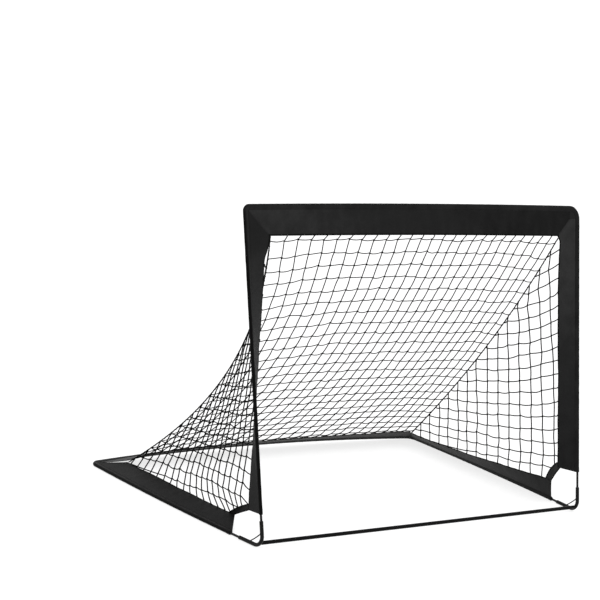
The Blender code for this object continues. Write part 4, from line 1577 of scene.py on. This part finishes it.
def back_net():
    make = np.random.default_rng(31)
    heap = Heap("strand")
    columns, rows = 25, 23
    length = 0.947
    # the columns stand a little closer towards the right
    u = (1 - np.exp(-0.011 * np.arange(1, columns + 1))) / (1 - math.exp(-0.011 * (columns + 1)))
    v = (0.012 + MESH * np.arange(rows)) / length
    uu, vv = np.meshgrid(u, v)
    # the net's own unevenness: slow drifts over many meshes, and a little at every knot
    drift_u = 0.0022 * np.sin(7 * vv + 3 * uu) + 0.0016 * np.sin(13 * uu + 5.0 * vv + 1.1) + make.normal(0, 0.0011, uu.shape)
    drift_v = 0.0030 * np.sin(9 * uu + 1.3) * np.sin(4 * vv) + 0.0018 * np.sin(21 * uu + 9 * vv) + make.normal(0, 0.0016, uu.shape)
    edge = (2 * uu - 1) ** 2
    droop = 0.020 * np.clip(v / 0.06, 0, 1) * np.clip((1 - v) / 0.1, 0, 1)
    drop = edge**2 * droop[:, None]
    knots = back_point(uu + drift_u, vv + drift_v + drop)
    tops = TOP_EDGE.share(np.minimum(u + 0.0110, 0.9985))  # laced a little to the right of their knots
    lows = LOW_EDGE.share(u)
    for i in range(columns):
        chain = np.concatenate([[tops[i]], knots[:, i], [lows[i]]])
        first = unit(chain[0] - chain[1])
        last = unit(chain[-1] - chain[-2])
        chain = np.concatenate([[chain[0] + MOUTH_UP * HEM_DEPTH], chain, [chain[-1] + last * HEM_DEPTH]])
        heap.add(*with_material(tube_mesh(slack(chain, 0.0006, 0.0006, make), STRAND_R, 6, AX)))
    left = SEAM[-1].share(np.clip(v + droop, 0, 1))
    right = SEAM[1].share(np.clip(v + droop, 0, 1))
    for j in range(rows):
        row = knots[j]
        step = np.roll(knots, -1, 0)[j] - row if j < rows - 1 else row - knots[j - 1]
        step = unit(step) * 0.0011
        chain = [left[j]]
        for i in range(columns):
            chain += [row[i] - step[i] - AX * 0.0012, row[i] + step[i] + AX * 0.0012]
        chain.append(right[j])
        chain = np.array(chain)
        smooth_chain = [chain[0]]
        for a in range(0, len(chain) - 1):
            p, q = chain[a], chain[a + 1]
            if a % 2 == 0:
                span = np.linalg.norm(q - p)
                swing = make.normal(0, 0.0010, 3)
                for share in (0.25, 0.5, 0.75):
                    bulge = 4 * share * (1 - share)
                    smooth_chain.append(p + (q - p) * share + np.array([0, 0, -0.0016 * bulge]) + swing * bulge)
            smooth_chain.append(q)
        heap.add(*with_material(tube_mesh(np.array(smooth_chain), STRAND_R * 0.92, 6, AZ)))
    along = np.gradient(knots, axis=0).reshape(-1, 3)
    across = np.gradient(knots, axis=1).reshape(-1, 3)
    add_knots(heap, knots.reshape(-1, 3), across, along, make)
    piece = heap.piece("net_back", [TWINE])
    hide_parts("net_back_panel")
    tuple(BACK_START)
    tuple(BACK_END)
    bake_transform(piece)
    return left, right


def with_material(made):
    verts, faces, values = made
    return verts, faces, 0, values


SEAM_ROWS = back_net()


def seam_cord(side):
    """The cord, with the twine that laces both panels to it."""
    word = NAMES[side]
    heap = Heap("strand")
    path = SEAM[side]
    s = np.linspace(0, path.length, int(path.length / 0.006))
    centre = path.at(s)
    heap.add(*with_material(tube_mesh(centre, CORD_R, 12, AX)))
    turns = path.length / 0.0137
    count = int(turns * 9)
    s = np.linspace(0.004, path.length - 0.004, count)
    centre = path.at(s)
    normal, sideways = frames_along(centre, AX)
    a = np.linspace(0, turns * 2 * math.pi, count) + 0.25 * np.sin(s * 55)
    wrap = centre + (normal * np.cos(a)[:, None] + sideways * np.sin(a)[:, None]) * (CORD_R + 0.00035)
    verts, faces, values = tube_mesh(wrap, 0.00055, 5, AX)
    heap.add(verts, faces, 1, values)
    piece = heap.piece(f"net_seam_{word}", [CORD, LACING])
    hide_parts(f"net_seam_cord_{word}")
    tuple(BACK_START)
    tuple(BACK_END)
    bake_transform(piece)


for s in NAMES:
    seam_cord(s)


# ---------------------------------------------------------------- corner straps
def tail_lag(side, d):
    """The blend weight at which a net end stays on the post band's free edge as the band flattens."""
    d = np.asarray(d, float)
    edge = edge_point(POSTS[side], d) - HINGE
    flat = edge - MOUTH_REAR * dot(edge_point(POSTS[side], d) - POSTS[side].point(d), MOUTH_REAR) * (1 - TAIL_KEEP)
    a = np.arctan2(edge[..., 2], edge[..., 1])
    b = np.arctan2(flat[..., 2], flat[..., 1])
    return np.clip(1 - np.abs(b - a) / FOLD, 0.0, 1.0)


def ground_lag(point):
    """The small weight at which a net end follows the ground band as it is pressed down."""
    drop = (1 - GROUND_KEEP) * np.maximum(point[..., 2] - AXIS_Z, 0.0)
    r = np.hypot(point[..., 1] - HINGE[1], point[..., 2] - HINGE[2])
    return np.clip(drop / np.maximum(r, 0.05) / FOLD, 0.0, 0.3)


def wedge_weight(point):
    """The weight at which a net's point keeps its share of the angle between the ground and the mouth."""
    angle = math.atan2(float(point[2] - HINGE[2]), float(point[1] - HINGE[1]))
    return min(1.0, max(0.0, angle / (math.pi / 2 - LEAN)))


def blend_to(piece, a, weight_a, b, weight_b):
    """Bakes a piece's transform into its mesh; the weights at points a and b are turned into shares that bend nothing.
    """
    ta, tb = float(unsmooth(weight_a)), float(unsmooth(weight_b))
    a, b = np.asarray(a, float), np.asarray(b, float)
    if abs(tb - ta) < 0.02:
        tb = ta + 0.02
    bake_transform(piece)


def strap_feet(side):
    """Where the hems of the post band and of the ground band meet their free edges."""
    return (
        float(hem_at((HEM[side], HEM_SLANT[side]), BAND_WIDTH)),
        float(hem_at((SIDE_FRONT[side], SIDE_SLANT[side]), BAND_WIDTH)),
    )


def strap_lines(side, count):
    t = np.linspace(0, 1, count)[:, None]
    post, ground = strap_feet(side)
    lines = []
    inner_bow = 0.005 if side < 0 else 0.007
    for up, back, bow in ((-0.001, -0.001, 0.001), (STRAP_POST - 0.001, STRAP_SIDE - 0.001, inner_bow)):
        a = edge_point(POSTS[side], np.array(post + up), -0.003)
        if side > 0 and not lines:  # the right strap's outer edge is sewn in further along the hem
            hem = float(hem_at((HEM[side], HEM_SLANT[side]), BAND_WIDTH - 0.012))
            a = edge_point(POSTS[side], np.array(hem + 0.001), -0.012)
        b = edge_point(SIDES[side], np.array(ground + back), -0.003)
        pull = unit(FRONT[side].apex - (a + b) / 2) * -bow
        lines.append(a + (b - a) * t + pull * (4 * t * (1 - t)))
    return lines


def strap_ends(side):
    """The strap's middle at the ground band and at the post band, with its weights there."""
    outer, inner = strap_lines(side, 3)
    low, high = (outer[-1] + inner[-1]) / 2, (outer[0] + inner[0]) / 2
    post = float(tail_lag(side, np.array(strap_feet(side)[0] + STRAP_POST / 2)))
    return low, float(ground_lag(low)), high, post


def strap_weight(side, point):
    """The strap's blend weight at a point."""
    low, weight_low, high, weight_high = strap_ends(side)
    ta, tb = float(unsmooth(weight_low)), float(unsmooth(weight_high))
    run = high - low
    return float(smooth(ta + (tb - ta) * float((point - low) @ run) / float(run @ run)))


def strap(side):
    """A strip of the bands' cloth with both its edges bound."""
    word = NAMES[side]
    heap = Heap("cloth")
    outer, inner = strap_lines(side, 41)
    width = np.array([0, 0.02, 0.06, 0.11, 0.16, 0.185, 0.2, 0.22, 0.35, 0.5, 0.65, 0.78, 0.8, 0.815, 0.84, 0.89, 0.94, 0.98, 1.0])
    thick = np.array([0, 0.7, 1.02, 1.1, 1.04, 0.96, 0.78, 0.68, 0.66, 0.66, 0.66, 0.68, 0.78, 0.96, 1.04, 1.1, 1.02, 0.7, 0.0]) * 0.00078
    across = inner - outer
    along = tangents((outer + inner) / 2)
    normal = unit(np.cross(along, across))
    w = np.concatenate([width, width[-2:0:-1]])
    h = np.concatenate([thick, -thick[-2:0:-1]])
    share = np.linspace(0, 1, len(outer))[:, None]
    ends = smooth(share / 0.1) * smooth((1 - share) / 0.1)
    cup = (0.0013 * np.sin(math.pi * w) + 0.0006 * np.sin(2.2 * math.pi * w + 9 * share)) * ends
    points = outer[:, None, :] + across[:, None, :] * w[None, :, None] + normal[:, None, :] * (h[None, :] + cup)[..., None]
    rows, columns = points.shape[:2]
    values = np.zeros((rows, columns, 3))
    middle = (outer + inner) / 2
    s = np.concatenate([[0.0], np.cumsum(np.linalg.norm(np.diff(middle, axis=0), axis=1))])
    values[..., 0] = s[:, None]
    values[..., 1] = (w * 0.0225)[None, :]
    values[..., 2] = np.exp(-(np.minimum(w, 1 - w) / 0.05) ** 2)[None, :] * 0.8
    centre = (w + np.roll(w, -1)) / 2
    bound = ((centre < 0.19) | (centre > 0.81)).astype(int)
    heap.add(points, grid_faces(rows, columns, True), np.tile(bound, rows - 1), values)
    for base, flip in ((0, False), ((rows - 1) * columns, True)):
        for j in range(len(width) - 1):
            quad = [base + j, base + j + 1, base + (columns - j - 1) % columns, base + (columns - j) % columns]
            quad = list(dict.fromkeys(quad))
            if len(quad) > 2:
                heap.faces.append(quad if flip else quad[::-1])
                heap.mats.append(0)
    for sign in (1, -1):
        for share in (0.165, 0.835):
            bulge = 0.0013 * math.sin(math.pi * share) + 0.0006 * np.sin(2.2 * math.pi * share + 9 * np.linspace(0, 1, rows)[:, None])
            line = outer + across * share + normal * (bulge * ends + sign * 0.00080)
            stitches(heap, line[1:-1], (normal * sign)[1:-1], 2)
    piece = heap.piece(f"corner_strap_{word}_web", [BAND, TAPE, THREAD])
    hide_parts(f"corner_strap_{word}")
    blend_to(piece, *strap_ends(side))


for s in NAMES:
    strap(s)


# ---------------------------------------------------------------- side nets
class SideNet:
    """A side panel: its surface between the post, the ground band and the seam cord, looked up by (y, z)."""

    def __init__(self, side):
        self.side = side
        outer, inner = strap_lines(side, 17)
        post_foot, ground_foot = strap_feet(side)
        low = post_foot + STRAP_POST + 0.001
        top = mitre_at(TOP[side], 0, 0.001) - SEAM_DROP[side]
        self.post = Poly(edge_point(POSTS[side], np.linspace(low, top, 80)))
        self.post_d = (low, top)
        self.strap_edge = inner[::-1][1:-1]
        front = np.concatenate([self.strap_edge, self.post.points])
        near = ground_foot + STRAP_SIDE + 0.001
        far = mitre_at(BACK[side], 0, 0.002)
        self.ground = Poly(edge_point(SIDES[side], np.linspace(near, far, 80)))
        floor = np.concatenate([[front[0]], self.ground.points])
        seam = SEAM[side].points[::-1]
        front, floor, seam = Poly(front), Poly(floor), Poly(seam)
        n = 48
        u = np.linspace(0, 1, n)
        uu, vv = np.meshgrid(u, u)
        f, l = front.share(vv), seam.share(vv)
        lo = floor.share(uu)
        hi = np.broadcast_to(front.points[-1], lo.shape)
        corners = (
            floor.points[0] * (1 - vv)[..., None] + front.points[-1] * vv[..., None]
        ) * (1 - uu)[..., None] + (
            floor.points[-1] * (1 - vv)[..., None] + seam.points[-1] * vv[..., None]
        ) * uu[..., None]
        surface = (
            lo * (1 - vv)[..., None] + hi * vv[..., None]
            + f * (1 - uu)[..., None] + l * uu[..., None]
            - corners
        )
        self.cloud = surface.reshape(-1, 3)
        self.tree = KDTree(len(self.cloud))
        for i, p in enumerate(self.cloud):
            self.tree.insert((p[1], p[2], 0.0), i)
        self.tree.balance()
        self.outline_seam = seam
        self.outline_front = front
        # s runs back from the post's free edge and h up along it, both from its top
        self.ref = self.post.points[-1][1:]
        self.lean = unit(self.ref - self.post.points[0][1:])
        self.back = np.array([self.lean[1], -self.lean[0]])
        self.grid = np.arange(-0.06, 0.95, 0.004)

    def sh(self, points):
        flat = np.asarray(points, float)[..., 1:] - self.ref
        return flat @ self.back, flat @ self.lean

    def yz(self, s, h):
        return self.ref + self.back * s + self.lean * h

    def trace(self, start):
        """The height of the row that starts at the post's edge at h = start, over the grid of s."""
        square = math.atan2(-self.back[1], self.back[0])

        def slope(s, h):
            z = self.ref[1] + s * self.back[1] + h * self.lean[1]
            far = 4.0 + 27.0 * z if self.side < 0 else 6.0 + 25.0 * z
            near = 13.5 + 46.0 * (z - 0.2)
            if self.side > 0:
                near += min(18.0, max(0.0, 36.0 * (z - 0.12)))
            if self.side < 0:
                near -= 22.0 * math.exp(-((max(z, 0.0) / 0.22) ** 4))
            fall = far + (near - far) * math.exp(-max(s, 0.0) / 0.08)
            return -math.tan(math.radians(fall) - square)

        row = np.empty(len(self.grid))
        zero = int(np.argmin(np.abs(self.grid)))
        row[zero] = start
        for order in (range(zero, len(self.grid) - 1), range(zero, 0, -1)):
            step = 1 if order.step > 0 else -1
            for i in order:
                run = self.grid[i + step] - self.grid[i]
                half = row[i] + slope(self.grid[i], row[i]) * run / 2
                row[i + step] = row[i] + slope(self.grid[i] + run / 2, half) * run
        return row

    def x_at(self, y, z):
        """The surface's x over (y, z), from a plane through the nearest known points."""
        found = self.tree.find_n((y, z, 0.0), 8)
        rows, values, weights = [], [], []
        for co, index, distance in found:
            p = self.cloud[index]
            rows.append((1.0, p[1] - y, p[2] - z))
            values.append(p[0])
            weights.append(1.0 / (distance + 0.002))
        rows, values, weights = np.array(rows), np.array(values), np.array(weights)
        a = rows * weights[:, None]
        b = values * weights
        answer, *_ = np.linalg.lstsq(
            np.concatenate([a, np.diag([0, 1e-2, 1e-2])]), np.concatenate([b, [0, 0, 0]]), rcond=None
        )
        return answer[0]


def crossings(path, offset_of):
    """Points where a signed offset changes sign along a polyline."""
    values = offset_of(path.points)
    out = []
    for i in range(len(values) - 1):
        a, b = values[i], values[i + 1]
        if a == 0 or (a < 0) != (b < 0):
            k = a / (a - b) if a != b else 0.0
            out.append(path.points[i] + (path.points[i + 1] - path.points[i]) * k)
    return out


def side_net(side):
    word = NAMES[side]
    net = SideNet(side)
    make = np.random.default_rng(47 + side)
    boundary = Poly(np.concatenate([net.strap_edge[::-1], net.ground.points]))
    strap_reach = float(net.sh(net.strap_edge[0])[0])

    # level strands
    levels = []
    start = LEVEL_FIRST[side]
    lowest = float(net.sh(net.ground.points)[1].min()) - 0.05
    while start > lowest:
        row = net.trace(start)

        def off(points, row=row):
            s, h = net.sh(points)
            return h - np.interp(s, net.grid, row)

        on_post = crossings(net.post, off)
        front = on_post or crossings(Poly(net.outline_front.points[: len(net.strap_edge) + 1]), off)
        on_seam = crossings(net.outline_seam, off)
        ends = on_seam or crossings(net.ground, off)
        if front and ends:
            a, b = front[-1], (ends[0] if on_seam else ends[-1])
            if net.sh(b)[0] - net.sh(a)[0] > 0.012:
                levels.append((row, a, b, bool(on_post), bool(on_seam)))
        start -= MESH

    # uprights, which the panel's inward bow draws forwards
    uprights = []
    near, far = (float(net.sh(net.ground.points[i])[0]) for i in (0, -1))
    edge = float(net.ground.points[0][0])
    place = net.sh(boundary.points)[0]
    if side > 0:  # the strap bows inwards too
        strap_count = len(net.strap_edge)
        place[:strap_count] += UPRIGHT_DRAW * side * (edge - boundary.points[:strap_count, 0])
    at = UPRIGHT_FIRST[side]
    while at < far - 0.010:
        low = crossings(boundary, lambda points: place - at)
        if low:
            low = low[0]
            base = edge if side > 0 and at < near else float(low[0])

            def away(points, at=at, base=base):
                return net.sh(points)[0] + UPRIGHT_DRAW * side * (base - points[:, 0]) - at

            high = crossings(net.outline_seam, away)
            if high and net.sh(high[-1])[1] > net.sh(low)[1] + 0.012:
                uprights.append((at, base, low, high[-1]))
        step = UPRIGHT_STEP[side]
        at += step[0] if at < near else step[1] if at < 0.35 else step[2]

    table = {}
    for ki, (at, base, low, high) in enumerate(uprights):
        for kj, (row, a, b, *_rest) in enumerate(levels):
            s = at
            for _ in range(4):
                y, z = net.yz(s, float(np.interp(s, net.grid, row)))
                s = at - UPRIGHT_DRAW * side * (base - net.x_at(y, z))
            h = float(np.interp(s, net.grid, row))
            if not net.sh(low)[1] + 0.010 < h < net.sh(high)[1] - 0.008:
                continue
            if not net.sh(a)[0] + 0.008 < s < net.sh(b)[0] - 0.008:
                continue
            y, z = net.yz(s, h)
            wobble = make.normal(0, 0.0013, 2) + 0.0015 * np.array([math.sin(17 * h + 3 * ki), math.sin(27 * y + kj)])
            y, z = y + wobble[0], z + wobble[1]
            table[ki, kj] = np.array([net.x_at(y, z), y, z])
    for ki, (at, base, low, high) in enumerate(uprights):
        knots = [table[ki, kj] for kj in range(len(levels) - 1, -1, -1) if (ki, kj) in table]
        chain = np.array([low, *knots, high])
        weight_low = strap_weight(side, low) if net.sh(low)[0] < strap_reach else float(ground_lag(low))
        weight_high = float(back_weight(high))
        # an upright is in up to four lengths, joined at knots, cut by the share of the fold's angle that each knot
        # spans
        weights = [weight_low, *(wedge_weight(k) for k in knots), weight_high]
        cuts = [0]
        for share in (0.40, 0.65, 0.85):
            reached = [i for i in range(1, len(chain) - 1) if weights[i] >= share * weight_high and i > cuts[-1]]
            if reached:
                cuts.append(reached[0])
        cuts.append(len(chain) - 1)
        run = unit(np.gradient(chain, axis=0))
        for part, (first, last) in enumerate(zip(cuts, cuts[1:])):
            length = chain[first : last + 1]
            if first == 0:
                length = np.concatenate([[low + unit(low - chain[1]) * HEM_DEPTH], length])
            heap = Heap("strand")
            heap.add(*with_material(tube_mesh(slack(length, 0.0006, 0.0006, make), SIDE_STRAND_R, 6, AX)))
            tied = range(max(first, 1), last)
            if len(tied):
                centres = chain[list(tied)]
                add_knots(heap, centres, np.broadcast_to(AY, centres.shape) + 0.01, run[list(tied)], make)
            piece = heap.piece(f"net_side_{word}_upright_{ki + 1:02d}_{part + 1}", [TWINE])
            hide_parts(f"net_side_panel_{word}")
            blend_to(piece, chain[first], weights[first], chain[last], weights[last])
    for kj, (row, a, b, on_post, on_seam) in enumerate(levels):
        knots = [table[ki, kj] for ki in range(len(uprights)) if (ki, kj) in table]
        chain = [a]
        for p in knots:
            chain += [p + np.array([0, -0.0012, 0.0010]), p + np.array([0, 0.0012, -0.0010])]
        chain.append(b)
        chain = np.array(chain)
        out = [chain[0] + unit(chain[0] - chain[1]) * HEM_DEPTH, chain[0]]
        for i in range(len(chain) - 1):
            p, q = chain[i], chain[i + 1]
            if i % 2 == 0:
                swing = make.normal(0, 0.0009, 3)
                for share in (0.25, 0.5, 0.75):
                    bulge = 4 * share * (1 - share)
                    out.append(p + (q - p) * share + np.array([0, 0, -0.0014 * bulge]) + swing * bulge)
            out.append(q)
        heap = Heap("strand")
        heap.add(*with_material(tube_mesh(np.array(out), SIDE_STRAND_R * 0.92, 6, AZ)))
        piece = heap.piece(f"net_side_{word}_level_{kj + 1:02d}", [TWINE])
        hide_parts(f"net_side_panel_{word}")
        if on_post:
            nearest = int(np.argmin(np.linalg.norm(net.post.points - a, axis=1)))
            d = net.post_d[0] + (net.post_d[1] - net.post_d[0]) * nearest / (len(net.post.points) - 1)
            weight_a = float(tail_lag(side, np.array(d)))
        else:
            weight_a = strap_weight(side, a)
        weight_b = float(back_weight(b)) if on_seam else float(ground_lag(b))
        blend_to(piece, b, weight_b, a, weight_a)
    print("side net", word, len(uprights), len(levels), len(table))


for s in NAMES:
    side_net(s)


# ---------------------------------------------------------------- floor, light and world
def studio():
    n = Nodes("pale_floor")
    cloud = n.noise(n.place(), 0.8, 3.0)
    n.done(
        n.colours(cloud, [(0.3, (0.30, 0.30, 0.30)), (0.7, (0.31, 0.31, 0.31))]),
        n.ramp(cloud, 0.62, 0.72), Specular_IOR_Level=0.2,
        Emission_Color=(1.0, 1.0, 1.0, 1.0), Emission_Strength=0.78,
    )
    mesh = bpy.data.meshes.new("floor")
    size = 60.0
    mesh.from_pydata(
        [(-size, -size, -0.0006), (size, -size, -0.0006), (size, size, -0.0006), (-size, size, -0.0006)],
        [], [(0, 1, 2, 3)],
    )
    mesh.materials.append(n.material)
    floor = bpy.data.objects.new("floor", mesh)
    bpy.context.scene.collection.objects.link(floor)

    world = bpy.data.worlds.new("studio")
    world.use_nodes = True
    back = world.node_tree.nodes["Background"]
    back.inputs["Color"].default_value = (1.0, 1.0, 1.0, 1.0)
    back.inputs["Strength"].default_value = 1.07
    bpy.context.scene.world = world

    def area(name, place, target, size, power):
        data = bpy.data.lights.new(name, "AREA")
        data.shape = "RECTANGLE"
        data.size, data.size_y = size
        data.energy = power
        ob = bpy.data.objects.new(name, data)
        bpy.context.scene.collection.objects.link(ob)
        place, target = Vector(place), Vector(target)
        ob.matrix_world = Matrix.Translation(place) @ (target - place).to_track_quat("-Z", "Y").to_matrix().to_4x4()

    area("key", (-3.2, -2.4, 3.4), (0, 0, 0.3), (2.6, 2.6), 12)
    area("fill", (3.6, -1.6, 2.2), (0, 0, 0.4), (2.4, 2.4), 12)
    area("back", (0.5, 3.8, 3.0), (0, 0, 0.4), (3.0, 2.0), 4)
    bpy.context.scene.view_settings.view_transform = "Standard"


studio()
